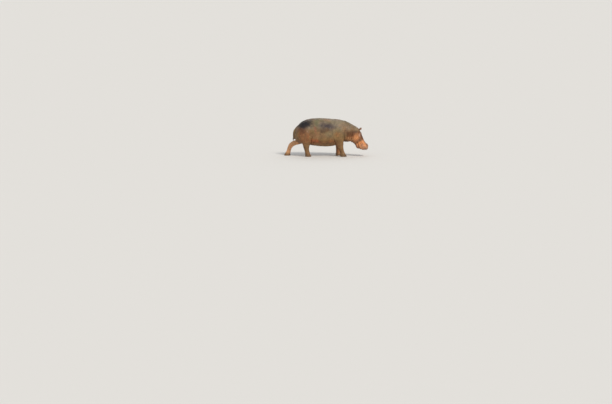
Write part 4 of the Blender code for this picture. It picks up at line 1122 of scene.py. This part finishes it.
    c = mixed(c, (0.138, 0.050, 0.015), 0.94 * smoothstep(0.09, 0.16, v) * smoothstep(0.38, 0.24, u) * head_here_now)
    c = mixed(c, (0.225, 0.150, 0.082), 0.75 * smoothstep(0.16, 0.24, v) * smoothstep(0.02, -0.12, u) * smoothstep(1.1, 1.2, k.f))
    c = mixed(c, (0.640, 0.270, 0.105), 0.95 * spot(0.050, 0.010, 0.125, 0.110))
    c = mixed(c, (0.640, 0.380, 0.260), 0.70 * spot(0.088, 0.140, 0.055, 0.034))
    c = mixed(c, (0.560, 0.250, 0.095), 0.90 * spot(0.070, -0.140, 0.120, 0.085))
    c = mixed(c, (0.160, 0.062, 0.022), 0.72 * spot(0.225, 0.050, 0.045, 0.085))
    c = mixed(c, ORANGE, 0.95 * smoothstep(0.265, 0.325, uw) * smoothstep(0.20, 0.13, v) * head_here_now)
    # A pale pink spot on the side of the muzzle: painted highlight.
    c = mixed(c, (0.600, 0.340, 0.215), 0.60 * spot(0.46, 0.020, 0.085, 0.060))
    # The lower half of the muzzle is painted darker: painted shade under the lip line.
    c = mixed(c, (0.390, 0.200, 0.118), 0.60 * smoothstep(0.00, -0.11, vw) * smoothstep(0.36, 0.45, uw) * head_here_now)
    c = mixed(c, (0.350, 0.190, 0.125), 0.85 * smoothstep(0.49, 0.61, uw) * head_here_now)
    c = mixed(c, (0.360, 0.165, 0.075), 0.80 * smoothstep(0.34, 0.44, u) * smoothstep(0.135, 0.175, v) * head_here_now)
    # The chin is painted darker: painted shade under the jaw.
    chin = smoothstep(-0.10, -0.17, v) * smoothstep(0.20, 0.28, u) * head_here_now
    c = mixed(c, (0.270, 0.115, 0.062), 0.80 * chin)
    # Dark blotches of pigment over the pink parts of the face.
    pigment = smoothstep(0.28, 0.42, noise(p, 0.045, 73)) * head_here_now * smoothstep(0.30, 0.42, u)
    c = mixed(c, (0.200, 0.100, 0.060), 0.40 * pigment)
    pigment = smoothstep(0.30, 0.45, noise(p, 0.030, 74)) * head_here_now * smoothstep(-0.05, -0.2, v)
    c = mixed(c, (0.180, 0.090, 0.055), 0.40 * pigment)
    # Ears, lids, lips, nostrils, tail.
    for way in (-1, 1):
        base, turn = ear_frame(way)
        local = (p - np.array(base)) @ np.array(turn)[:3, :3]
        ear = smoothstep(0.024, 0.052, local[:, 2]) * (np.abs(local[:, 0]) < 0.07) * (np.abs(local[:, 1]) < 0.06) * (local[:, 2] < 0.146)
        c = mixed(c, (0.300, 0.150, 0.075), 0.9 * ear)
        inside = ear * smoothstep(0.1, 0.6, k.normals @ np.array(turn)[:3, 1])
        c = mixed(c, (0.480, 0.215, 0.135), 0.8 * inside)
        centre, along, upward, out = eye_frame(way)
        d = np.linalg.norm(p - np.array(centre), axis=1)
        c = mixed(c, (0.560, 0.330, 0.235), 0.80 * np.exp(-(((d - 0.024) / 0.020) ** 2)))
    tail = smoothstep(-0.950, -0.975, k.f) * smoothstep(0.5, 0.56, k.z) * smoothstep(0.93, 0.84, k.z) * (side < 0.06)
    c = mixed(c, (0.165, 0.098, 0.052), 0.60 * tail)
    c = mixed(c, (0.090, 0.055, 0.036), 0.70 * tail * smoothstep(0.70, 0.60, k.z))
    # Painted shade in the creases, lid folds, toe clefts and nostril slits: darker and redder, near black in the
    # nostrils.
    recess_shade = np.clip(k.recess_shade, 0, 1.6)
    c = c * (1 - 0.52 * np.clip(recess_shade, 0, 1))[:, None] * np.where(recess_shade[:, None] > 0.02, (1.06, 0.96, 0.92), 1.0)
    c = mixed(c, (0.050, 0.018, 0.014), smoothstep(0.9, 1.3, recess_shade))
    # Broad light and dark.
    c = c * (0.91 + 0.11 * noise(p, 0.22, 75) + 0.09 * noise(p, 0.09, 76))[:, None]
    return np.clip(c, 0.004, 0.9)


def slackness(k):
    """How loose and wrinkled the hide is: least on the back and the muzzle."""
    on_head = head_here(k)
    legs_here = (1 - smoothstep(0.36, 0.60, k.z)) * (1 - on_head) * (k.f < 1.1)
    neck_here = smoothstep(0.84, 1.00, k.f) * (1 - on_head)
    slack = 0.34 + 0.18 * noise(k.points, 0.3, 81)
    slack = np.maximum(slack, 0.95 * legs_here)
    slack = np.maximum(slack, 0.90 * neck_here)
    slack = np.maximum(slack, 0.8 * np.clip(k.recess_shade * 1.5, 0, 1))
    slack = slack * (1 - on_head) + on_head * (0.42 - 0.22 * smoothstep(0.28, 0.42, k.u))
    return np.clip(slack, 0.05, 1.0)


# ------------------------------------------------------------------ materials


class Nodes:
    """Short names for making a node tree."""

    def __init__(self, material):
        material.use_nodes = True
        self.tree = material.node_tree
        self.tree.nodes.clear()
        self.shader = self.add("ShaderNodeBsdfPrincipled")
        self.end = self.add("ShaderNodeOutputMaterial")
        self.link(self.shader, "BSDF", self.end, "Surface")

    def add(self, kind, **values):
        node = self.tree.nodes.new(kind)
        for key, value in values.items():
            setattr(node, key, value)
        return node

    def link(self, a, out, b, into):
        self.tree.links.new(a.outputs[out], b.inputs[into])

    def noise(self, place, scale, detail=4.0, rough=0.55, distortion=0.0):
        node = self.add("ShaderNodeTexNoise")
        node.inputs["Scale"].default_value = scale
        node.inputs["Detail"].default_value = detail
        node.inputs["Roughness"].default_value = rough
        node.inputs["Distortion"].default_value = distortion
        self.link(place[0], place[1], node, "Vector")
        return node, "Fac"

    def cracks(self, place, scale, width):
        """1 in the middle of a cell, falling to 0 in the cracks between cells."""
        node = self.add("ShaderNodeTexVoronoi", feature="DISTANCE_TO_EDGE")
        node.inputs["Scale"].default_value = scale
        self.link(place[0], place[1], node, "Vector")
        return self.range((node, "Distance"), 0.0, width, 0.0, 1.0)

    def ridges(self, place, scale, width):
        """1 on the flat, falling to 0 along the lines where a noise is in its middle."""
        source = self.noise(place, scale, 2.5, 0.5, 0.5)
        away = self.math("ABSOLUTE", self.math("SUBTRACT", source, 0.5), 0.0)
        return self.range(away, 0.0, width, 0.0, 1.0)

    def range(self, value, low, high, to_low, to_high):
        node = self.add("ShaderNodeMapRange", interpolation_type="SMOOTHSTEP")
        for key, number in (("From Min", low), ("From Max", high), ("To Min", to_low), ("To Max", to_high)):
            node.inputs[key].default_value = number
        self.link(value[0], value[1], node, "Value")
        return node, "Result"

    def math(self, kind, a, b):
        node = self.add("ShaderNodeMath", operation=kind)
        for i, value in enumerate((a, b)):
            if isinstance(value, tuple):
                self.tree.links.new(value[0].outputs[value[1]], node.inputs[i])
            else:
                node.inputs[i].default_value = value
        return node, "Value"

    def mix(self, share, a, b, kind="MIX"):
        node = self.add("ShaderNodeMix", data_type="RGBA", blend_type=kind)
        for index, value in ((0, share), (6, a), (7, b)):
            if isinstance(value, tuple) and isinstance(value[0], bpy.types.Node):
                self.tree.links.new(value[0].outputs[value[1]], node.inputs[index])
            else:
                node.inputs[index].default_value = value
        return node, 2

    def scaled(self, place, factors):
        node = self.add("ShaderNodeMapping")
        node.inputs["Scale"].default_value = factors
        self.link(place[0], place[1], node, "Vector")
        return node, "Vector"

    def warped(self, place, scale, amount):
        noise_node = self.add("ShaderNodeTexNoise")
        noise_node.inputs["Scale"].default_value = scale
        noise_node.inputs["Detail"].default_value = 2.0
        self.link(place[0], place[1], noise_node, "Vector")
        centred = self.add("ShaderNodeVectorMath", operation="SUBTRACT")
        self.link(noise_node, "Color", centred, 0)
        centred.inputs[1].default_value = (0.5, 0.5, 0.5)
        size = self.add("ShaderNodeVectorMath", operation="SCALE")
        self.link(centred, 0, size, 0)
        size.inputs["Scale"].default_value = amount
        total = self.add("ShaderNodeVectorMath", operation="ADD")
        self.link(place[0], place[1], total, 0)
        self.link(size, 0, total, 1)
        return total, 0

    def bump(self, height, distance, strength=1.0, after=None):
        node = self.add("ShaderNodeBump")
        node.inputs["Distance"].default_value = distance
        node.inputs["Strength"].default_value = strength
        self.link(height[0], height[1], node, "Height")
        if after:
            self.link(after[0], after[1], node, "Normal")
        return node, "Normal"


def hide_material():
    material = bpy.data.materials.new("hide")
    n = Nodes(material)
    place = (n.add("ShaderNodeTexCoord"), "Object")
    tint = (n.add("ShaderNodeAttribute", attribute_name="hide"), "Color")
    slack = (n.add("ShaderNodeAttribute", attribute_name="slack"), "Fac")
    # Mottling from the size of a hand down to that of a grain of rice.
    broad = n.range(n.noise(place, 7.0, 6.0, 0.62, 0.4), 0.32, 0.68, 0.84, 1.20)
    middle = n.range(n.noise(place, 34.0, 5.0, 0.6, 0.3), 0.30, 0.70, 0.87, 1.15)
    fine = n.range(n.noise(place, 150.0, 3.0, 0.6), 0.30, 0.70, 0.92, 1.08)
    tone = n.math("MULTIPLY", n.math("MULTIPLY", broad, middle), fine)
    grey = n.add("ShaderNodeCombineColor")
    for key in ("Red", "Green", "Blue"):
        n.link(tone[0], tone[1], grey, key)
    colour = n.mix(1.0, tint, (grey, "Color"), "MULTIPLY")
    # Pinker and darker clouds, each a shade of the colour under it.
    pink = n.mix(1.0, colour, (1.30, 0.98, 0.92, 1.0), "MULTIPLY")
    colour = n.mix(n.range(n.noise(place, 4.3, 4.0, 0.55), 0.50, 0.72, 0.0, 0.60), colour, pink, "MIX")
    dusk = n.mix(1.0, colour, (0.62, 0.66, 0.74, 1.0), "MULTIPLY")
    colour = n.mix(n.range(n.noise(n.scaled(place, (1.0, 1.6, 0.7)), 5.6, 5.0, 0.6), 0.52, 0.74, 0.0, 0.55), colour, dusk, "MIX")
    # Winding wrinkles that cross each other, and a fine net between them.
    bent = n.warped(place, 9.0, 0.060)
    upright = n.ridges(n.scaled(bent, (1.0, 1.45, 0.42)), 24.0, 0.130)
    level = n.ridges(n.scaled(bent, (0.8, 0.50, 1.60)), 21.0, 0.120)
    bent_small = n.warped(place, 46.0, 0.014)
    net = n.cracks(bent_small, 105.0, 0.34)
    coarse = n.cracks(n.warped(place, 21.0, 0.034), 46.0, 0.42)
    wrinkles = n.math("MULTIPLY", n.math("MULTIPLY", upright, level), n.range(coarse, 0.0, 1.0, 0.80, 1.0))
    patchy = n.range(n.noise(place, 3.1, 3.0, 0.55), 0.36, 0.62, 0.25, 1.0)
    depth = n.math("MULTIPLY", n.math("MULTIPLY", n.math("SUBTRACT", 1.0, wrinkles), slack), patchy)
    # The wrinkles' valleys and the net's cracks are painted darker: painted shade.
    shade = n.mix(1.0, colour, (0.50, 0.42, 0.38, 1.0), "MULTIPLY")
    colour = n.mix(n.math("MULTIPLY", depth, 0.34), colour, shade, "MIX")
    colour = n.mix(n.range(net, 0.0, 1.0, 0.20, 0.0), colour, shade, "MIX")
    # Dark pores, flecks of dried mud and small healed scratches.
    pores = n.add("ShaderNodeTexVoronoi", feature="F1")
    pores.inputs["Scale"].default_value = 70.0
    n.link(bent_small[0], bent_small[1], pores, "Vector")
    colour = n.mix(n.range((pores, "Distance"), 0.06, 0.20, 0.30, 0.0), colour, shade, "MIX")
    pale = n.mix(1.0, colour, (1.50, 1.62, 1.75, 1.0), "MULTIPLY")
    scratches = n.noise(n.scaled(bent, (1.0, 0.35, 2.8)), 16.0, 6.0, 0.7, 1.2)
    colour = n.mix(n.range(scratches, 0.66, 0.76, 0.0, 0.45), colour, pale, "MIX")
    mud = n.noise(n.warped(place, 13.0, 0.05), 5.2, 8.0, 0.68)
    colour = n.mix(n.range(mud, 0.56, 0.66, 0.0, 0.30), colour, pale, "MIX")
    n.link(colour[0], colour[1], n.shader, "Base Color")
    rough = n.math("ADD", n.range(n.noise(place, 9.0, 5.0, 0.6), 0.3, 0.7, 0.42, 0.60), n.range(net, 0.0, 1.0, 0.10, 0.0))
    n.link(rough[0], rough[1], n.shader, "Roughness")
    n.shader.inputs["Specular IOR Level"].default_value = 0.38
    height = n.math("SUBTRACT", 1.0, depth)
    normal = n.bump(height, 0.0030, 1.0)
    grain = n.math("ADD", n.math("MULTIPLY", net, 0.5), n.math("MULTIPLY", n.noise(place, 210.0, 3.0, 0.6), 0.5))
    normal = n.bump(grain, 0.0011, 0.9, normal)
    n.link(normal[0], normal[1], n.shader, "Normal")
    return material


def horn_material():
    material = bpy.data.materials.new("nail_horn")
    n = Nodes(material)
    place = (n.add("ShaderNodeTexCoord"), "Object")
    streaks = n.noise(n.scaled(place, (1.0, 1.0, 0.18)), 210.0, 4.0, 0.6, 0.3)
    cloud = n.noise(place, 30.0, 4.0, 0.6)
    colour = n.mix(n.range(cloud, 0.35, 0.65, 0.0, 1.0), (0.105, 0.072, 0.050, 1.0), (0.205, 0.140, 0.092, 1.0))
    colour = n.mix(n.range(streaks, 0.40, 0.62, 0.45, 0.0), colour, (0.045, 0.030, 0.022, 1.0))
    n.link(colour[0], colour[1], n.shader, "Base Color")
    rough = n.range(streaks, 0.3, 0.7, 0.50, 0.36)
    n.link(rough[0], rough[1], n.shader, "Roughness")
    normal = n.bump(streaks, 0.0010, 0.8)
    normal = n.bump(n.noise(n.scaled(place, (0.4, 0.4, 3.0)), 120.0, 2.0, 0.5), 0.0008, 0.7, normal)
    n.link(normal[0], normal[1], n.shader, "Normal")
    return material


def eye_material():
    material = bpy.data.materials.new("eye_wet")
    n = Nodes(material)
    local = (n.add("ShaderNodeAttribute", attribute_name="eye_place"), "Vector")
    parts = n.add("ShaderNodeSeparateXYZ")
    n.link(local[0], local[1], parts, "Vector")
    flat = n.add("ShaderNodeCombineXYZ")
    n.link(parts, "X", flat, "X")
    n.link(parts, "Y", flat, "Y")
    radius = n.add("ShaderNodeVectorMath", operation="LENGTH")
    n.link(flat, "Vector", radius, 0)
    squashed = n.scaled((flat, "Vector"), (0.56, 1.0, 1.0))
    pupil_radius = n.add("ShaderNodeVectorMath", operation="LENGTH")
    n.link(squashed[0], squashed[1], pupil_radius, 0)
    angle = n.math("ARCTAN2", (parts, "Y"), (parts, "X"))
    wheel = n.add("ShaderNodeCombineXYZ")
    n.link(angle[0], angle[1], wheel, "X")
    ring = n.math("MULTIPLY", (radius, "Value"), 0.6)
    n.link(ring[0], ring[1], wheel, "Y")
    fibres = n.noise((wheel, "Vector"), 9.0, 5.0, 0.65)
    iris = n.mix(n.range(fibres, 0.35, 0.65, 0.0, 1.0), (0.030, 0.013, 0.005, 1.0), (0.105, 0.047, 0.014, 1.0))
    iris = n.mix(n.range((radius, "Value"), 0.36, 0.58, 0.0, 0.85), iris, (0.010, 0.005, 0.003, 1.0))
    colour = n.mix(n.range((pupil_radius, "Value"), 0.150, 0.185, 1.0, 0.0), iris, (0.0025, 0.002, 0.002, 1.0))
    white = n.mix(n.range(n.noise(local, 6.0, 4.0, 0.6), 0.4, 0.6, 0.0, 1.0), (0.110, 0.055, 0.038, 1.0), (0.210, 0.120, 0.088, 1.0))
    colour = n.mix(n.range((radius, "Value"), 0.56, 0.63, 0.0, 1.0), colour, white)
    n.link(colour[0], colour[1], n.shader, "Base Color")
    n.shader.inputs["Roughness"].default_value = 0.06
    n.shader.inputs["Specular IOR Level"].default_value = 0.42
    n.shader.inputs["Coat Weight"].default_value = 0.25
    n.shader.inputs["Coat Roughness"].default_value = 0.03
    return material


def bristle_material():
    material = bpy.data.materials.new("bristle")
    n = Nodes(material)
    place = (n.add("ShaderNodeTexCoord"), "Object")
    tone = n.noise(place, 60.0, 2.0, 0.5)
    colour = n.mix(n.range(tone, 0.35, 0.65, 0.0, 1.0), (0.055, 0.036, 0.024, 1.0), (0.170, 0.115, 0.070, 1.0))
    n.link(colour[0], colour[1], n.shader, "Base Color")
    n.shader.inputs["Roughness"].default_value = 0.45
    return material


# ------------------------------------------------------------------ pieces


def simplified(obj, triangles):
    obj.data.calc_loop_triangles()
    modifier = obj.modifiers.new("decimate", "DECIMATE")
    modifier.ratio = triangles / len(obj.data.loop_triangles)
    modifier.use_collapse_triangulate = True
    graph = bpy.context.evaluated_depsgraph_get()
    mesh = bpy.data.meshes.new_from_object(obj.evaluated_get(graph))
    obj.modifiers.clear()
    old, obj.data = obj.data, mesh
    bpy.data.meshes.remove(old)


def chart_of(centres, normals):
    """Which piece of the unwrapped hide each face belongs to."""
    s, f, z, u, v = body_coordinates(centres)
    left = s > 0
    chart = np.where(left, 1, 0)
    head_faces = (u > -0.02) & (f > 1.25)
    chart[head_faces] += 2
    under = head_faces & (normals @ np.array(world_direction(HEAD_UP)) < -0.35)
    chart[under] = 4
    low = (z < 0.46) & (f < 1.02) & ~head_faces & (np.abs(s) > 0.10)
    far = (f < -0.80) & (z < 0.66) & (s > 0.09)
    for number, (s0, f0, _) in enumerate(FEET.values()):
        mine = low & (np.sign(s) == np.sign(s0)) & (np.abs(f - f0) < 0.48)
        if number == 3:
            mine = far
        elif number == 2:
            mine &= f < 0.1
        elif number < 2:
            mine &= f > 0.25
        inner = (s - s0) * np.sign(s0) < 0
        chart[mine] = 10 + 2 * number + inner[mine]
    chart[(z < 0.012) & (normals[:, 2] < -0.7)] = 30
    for way in (-1, 1):
        base, turn = ear_frame(way)
        local = (centres - np.array(base)) @ np.array(turn)[:3, :3]
        ear = (local[:, 2] > 0.038) & (local[:, 2] < 0.146) & (np.abs(local[:, 0]) < 0.07) & (np.abs(local[:, 1]) < 0.06)
        front = normals @ np.array(turn)[:3, 1] > 0
        chart[ear] = 40 + 2 * (way > 0) + front[ear]
    tail = (f < -0.965) & (z > 0.55) & (np.abs(s) < 0.055) & (z < 0.90)
    chart[tail] = 50 + (s[tail] > 0)
    return chart


def world_direction(plane):
    return (0.0, -plane[0], plane[1])


def unwrapped(obj):
    """Lays the hide out flat in the map OFBake, cut along the midline and round
    the head, legs, ears and tail."""
    mesh = obj.data
    count = len(mesh.polygons)
    centres = np.empty(count * 3)
    mesh.polygons.foreach_get("center", centres)
    normals = np.empty(count * 3)
    mesh.polygons.foreach_get("normal", normals)
    chart = chart_of(centres.reshape(-1, 3), normals.reshape(-1, 3))
    loop_edge = np.empty(len(mesh.loops), int)
    mesh.loops.foreach_get("edge_index", loop_edge)
    loop_face = np.repeat(np.arange(count), 3)
    low = np.full(len(mesh.edges), 10**6)
    high = np.full(len(mesh.edges), -1)
    np.minimum.at(low, loop_edge, chart[loop_face])
    np.maximum.at(high, loop_edge, chart[loop_face])
    mesh.edges.foreach_set("use_seam", (low != high))
    mesh.uv_layers.new(name="OFBake")
    bpy.ops.object.select_all(action="DESELECT")
    obj.select_set(True)
    bpy.context.view_layer.objects.active = obj
    bpy.ops.object.mode_set(mode="EDIT")
    bpy.ops.mesh.select_all(action="SELECT")
    bpy.ops.uv.unwrap(method="CONFORMAL", margin=0.004)
    bpy.ops.object.mode_set(mode="OBJECT")
    obj.select_set(False)


def skin_piece():
    body, k = make_skin()
    finish_detail(body, k)
    recess_shade = body.data.attributes.get("recess_shade") or body.data.attributes.new("recess_shade", "FLOAT", "POINT")
    recess_shade.data.foreach_set("value", k.recess_shade)
    simplified(body, SKIN_TRIANGLES)
    mesh = body.data
    recess_shade = np.empty(len(mesh.vertices))
    mesh.attributes["recess_shade"].data.foreach_get("value", recess_shade)
    k = Sculpt(mesh)
    k.recess_shade = recess_shade
    mesh.attributes.remove(mesh.attributes["recess_shade"])
    colours = np.ones((len(mesh.vertices), 4))
    colours[:, :3] = hide_colours(k)
    layer = mesh.color_attributes.new("hide", "FLOAT_COLOR", "POINT")
    layer.data.foreach_set("color", colours.ravel())
    slack = mesh.attributes.new("slack", "FLOAT", "POINT")
    slack.data.foreach_set("value", slackness(k))
    mesh.shade_smooth()
    unwrapped(body)
    mesh.materials.clear()
    mesh.materials.append(hide_material())
    body.name = mesh.name = "hide"
    return body, k


def eye_piece(side):
    centre, along, up, out = eye_frame(side)
    bm = bmesh.new()
    bmesh.ops.create_uvsphere(bm, u_segments=64, v_segments=48, radius=1.0)
    place = bm.verts.layers.float_vector.new("eye_place")
    for vert in bm.verts:
        a, b, c = vert.co
        vert[place] = (a, b, c)
        # The cornea stands a little proud of the ball.
        swell = 1 + 0.045 * max(0.0, (c - 0.72) / 0.28) if c > 0 else 1.0
        vert.co = centre + EYE_RADIUS * 0.992 * swell * (along * a + up * b + out * c)
    name = "eyeball_left" if side > 0 else "eyeball_right"
    obj = mass_object(name, bm)
    obj.data.shade_smooth()
    return obj


def nail_piece(foot, index):
    """A blunt horn plate: domed, ridged lengthwise, its lower edge worn."""
    place, heading = nail_place(foot, index)
    size = FEET[foot][2] * (1.0 if abs(TOE_ANGLES[index]) < 40 else 0.88)
    bm = bmesh.new()
    bmesh.ops.create_uvsphere(bm, u_segments=48, v_segments=32, radius=1.0)
    bmesh.ops.rotate(bm, verts=bm.verts, matrix=Matrix.Rotation(math.radians(90), 3, "X"))
    rows = np.array([v.co for v in bm.verts])
    rough = noise(rows, 0.35, 5 + index)
    width, depth, height = NAIL_SIZE
    turn = Matrix.Rotation(math.radians(heading), 4, "Z") @ Matrix.Rotation(math.radians(-14), 4, "X")
    for vert, bend in zip(bm.verts, rough):
        x, y, z = vert.co
        # Squarer outline, wider below, flat worn tip.
        grow = (abs(x) ** 2.6 + abs(z) ** 2.6) ** (1 / 2.6)
        flat = math.hypot(x, z)
        if grow > 1e-6:
            x, z = x * flat / grow, z * flat / grow
        z = max(z, -0.80 + 0.05 * bend)
        x *= 1.0 - 0.14 * z
        ridge = 0.035 * math.sin(9.5 * x + bend)
        y = y * (1.0 + ridge + 0.05 * bend)
        vert.co = Vector((x * width * 1.02, y * depth * 0.98, z * height * 1.04)) * size
    bmesh.ops.transform(bm, matrix=Matrix.Translation(place) @ turn, verts=bm.verts)
    for vert in bm.verts:
        vert.co.z = max(vert.co.z, 0.0006)
    obj = mass_object("toenail_" + foot + "_" + str(index + 1), bm)
    obj.data.shade_smooth()
    return obj


def bristles(name, skin, k, chosen, count, length, radius, lean, seed, spread=0.25):
    """Stout hairs, each a tapered bent tube rooted in the hide, laid in the map
    OFBake at its root's place."""
    pick = np.random.default_rng(seed)
    index = np.nonzero(chosen)[0]
    if len(index) > count:
        # Even spacing: take the points one at a time, each far from the others.
        order = pick.permutation(index)
        taken = []
        gap = 0.62 * math.sqrt(max(1e-9, region_area(skin.data, chosen)) / count)
        for i in order:
            if all(np.linalg.norm(k.points[i] - k.points[j]) > gap for j in taken):
                taken.append(i)
            if len(taken) >= count:
                break
        index = np.array(taken)
    mesh = skin.data
    loops = np.empty(len(mesh.loops), int)
    mesh.loops.foreach_get("vertex_index", loops)
    uv = np.empty(len(mesh.loops) * 2)
    mesh.uv_layers["OFBake"].data.foreach_get("uv", uv)
    uv = uv.reshape(-1, 2)
    at = np.zeros((len(mesh.vertices), 2))
    at[loops] = uv
    bm = bmesh.new()
    layer = bm.loops.layers.uv.new("OFBake")
    sides, rings = 5, 5
    for i in index:
        root = k.points[i] - k.normals[i] * 0.004
        axis = k.normals[i] + np.asarray(lean) * pick.uniform(0.5, 1.2) + pick.normal(size=3) * spread
        axis /= np.linalg.norm(axis)
        droop = np.array([0, 0, -1.0]) * pick.uniform(0.10, 0.45)
        reach = length * pick.uniform(0.65, 1.15)
        cross = np.cross(axis, [0.31, 0.55, 0.77])
        cross /= np.linalg.norm(cross)
        other = np.cross(axis, cross)
        loops_made = []
        for ring in range(rings):
            t = ring / (rings - 1)
            centre = root + axis * reach * t + droop * reach * t * t
            wide = radius * (1 - 0.88 * t)
            loops_made.append(
                [bm.verts.new(centre + wide * (math.cos(w) * cross + math.sin(w) * other)) for w in (2 * math.pi * j / sides for j in range(sides))]
            )
        faces = [bm.faces.new(reversed(loops_made[0])), bm.faces.new(loops_made[-1])]
        for a, b in zip(loops_made, loops_made[1:]):
            for j in range(sides):
                faces.append(bm.faces.new((a[j], a[(j + 1) % sides], b[(j + 1) % sides], b[j])))
        for face in faces:
            for loop in face.loops:
                away = loop.vert.co - Vector(root)
                loop[layer].uv = (
                    at[i][0] + 0.0015 * max(-1.0, min(1.0, away.dot(Vector(cross)) / (2 * radius))),
                    at[i][1] + 0.003 * (away.dot(Vector(axis)) / reach - 0.5),
                )
    obj = mass_object(name, bm)
    obj.data.shade_smooth()
    return obj


def region_area(mesh, chosen):
    area = np.empty(len(mesh.polygons))
    mesh.polygons.foreach_get("area", area)
    loops = np.empty(len(mesh.loops), int)
    mesh.loops.foreach_get("vertex_index", loops)
    return float(area[chosen[loops[::3]]].sum())


# ------------------------------------------------------------------ the scene


def lens_and_lights():
    scene = bpy.context.scene
    scene.view_settings.view_transform = "Standard"
    scene.view_settings.look = "None"
    camera = bpy.data.cameras.new("camera")
    camera.lens = 200.0
    camera.sensor_width = 36.0
    camera.clip_start, camera.clip_end = 1.0, 1000.0
    obj = bpy.data.objects.new("camera", camera)
    scene.collection.objects.link(obj)
    target = Vector((-0.183, 0.766, -1.743))
    a, e = math.radians(270), math.radians(6)
    back = Vector((math.sin(a) * math.cos(e), -math.cos(a) * math.cos(e), math.sin(e)))
    obj.location = target + back * 129.54
    obj.rotation_euler = (-back).to_track_quat("-Z", "Y").to_euler()
    scene.camera = obj

    def sun(name, direction, strength, softness, colour):
        light = bpy.data.lights.new(name, "SUN")
        light.energy = strength
        light.angle = math.radians(softness)
        light.color = colour
        lamp = bpy.data.objects.new(name, light)
        lamp.rotation_euler = Vector(direction).normalized().to_track_quat("Z", "Y").to_euler()
        lamp.location = Vector(direction) * 10
        scene.collection.objects.link(lamp)

    sun("key", (-0.66, -0.42, 0.66), 2.25, 14.0, (1.0, 0.955, 0.88))
    sun("fill", (0.80, -0.15, 0.50), 0.60, 50.0, (0.92, 0.96, 1.0))
    studio = bpy.data.worlds.new("studio")
    scene.world = studio
    studio.use_nodes = True
    tree = studio.node_tree
    soft = tree.nodes["Background"]
    soft.inputs["Color"].default_value = (0.93, 0.96, 1.0, 1.0)
    soft.inputs["Strength"].default_value = 0.52
    # Beyond the floor's edge the backdrop has the lit floor's own colour.
    drop = tree.nodes.new("ShaderNodeBackground")
    drop.inputs["Color"].default_value = (0.766, 0.746, 0.707, 1.0)
    seen = tree.nodes.new("ShaderNodeLightPath")
    both = tree.nodes.new("ShaderNodeMixShader")
    tree.links.new(seen.outputs["Is Camera Ray"], both.inputs[0])
    tree.links.new(soft.outputs[0], both.inputs[1])
    tree.links.new(drop.outputs[0], both.inputs[2])
    tree.links.new(both.outputs[0], tree.nodes["World Output"].inputs["Surface"])


def floor_piece():
    bm = bmesh.new()
    bmesh.ops.create_circle(bm, cap_ends=True, segments=96, radius=900.0)
    obj = mass_object("floor", bm)
    material = bpy.data.materials.new("floor_paint")
    material.use_nodes = True
    shader = material.node_tree.nodes["Principled BSDF"]
    shader.inputs["Base Color"].default_value = (0.74, 0.72, 0.69, 1.0)
    shader.inputs["Roughness"].default_value = 1.0
    shader.inputs["Specular IOR Level"].default_value = 0.0
    obj.data.materials.append(material)
    return obj


def main():
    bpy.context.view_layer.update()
    lens_and_lights()
    floor_piece()
    skin, k = skin_piece()
    flesh = ["trunk", "neck", "head", "lower_jaw", "tail", "ear_left", "ear_right"]
    flesh += [part + "_" + side for part in ("foreleg", "hindleg", "forefoot", "hindfoot") for side in ("right", "left")]
    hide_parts(*flesh)
    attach(skin, "root")
    wet = eye_material()
    for side, node in ((-1, "eye_right"), (1, "eye_left")):
        eye = eye_piece(side)
        eye.data.materials.append(wet)
        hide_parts(node)
        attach(eye, "root")
    horn = horn_material()
    for foot in FEET:
        for index in range(4):
            nail = nail_piece(foot, index)
            nail.data.materials.append(horn)
            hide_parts("nail_" + foot + "_" + str(index + 1))
            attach(nail, "root")
    hair = bristle_material()
    side = np.abs(k.s)
    lip = (k.u > 0.40) & (k.v > -0.105) & (k.v < 0.12) & (k.f > 1.3) & (side > 0.03) & (k.recess_shade < 0.3)
    chin = (k.u > 0.36) & (k.u < 0.60) & (k.v < -0.13) & (k.f > 1.2)
    tail = (k.f < -0.97) & (k.z > 0.56) & (k.z < 0.72) & (side < 0.04) & ((k.f < -1.02) | (k.z < 0.62))
    ears = np.zeros(len(k.points), bool)
    for way in (-1, 1):
        base, turn = ear_frame(way)
        local = (k.points - np.array(base)) @ np.array(turn)[:3, :3]
        ears |= (local[:, 2] > 0.060) & (local[:, 2] < 0.140) & (np.abs(local[:, 0]) < 0.06) & (np.abs(local[:, 1]) < 0.05) & (np.hypot(local[:, 0] / 0.046, (local[:, 2] - 0.064) / 0.056) > 0.84)
    forward = np.array(world_direction(HEAD_AXIS))
    for name, chosen, count, length, radius, lean, seed in (
        ("lip_bristles", lip, 130, 0.020, 0.0008, forward * 0.7 + (0, 0, -0.5), 3),
        ("chin_bristles", chin, 46, 0.015, 0.0007, forward * 0.9, 4),
        ("ear_hairs", ears, 120, 0.011, 0.0005, (0, 0, 0.5), 5),
        ("tail_bristles", tail, 130, 0.040, 0.0009, (0, 0.1, -1.9), 6),
    ):
        piece = bristles(name, skin, k, chosen, count, length, radius, lean, seed)
        piece.data.materials.append(hair)
        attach(piece, "root")


main()
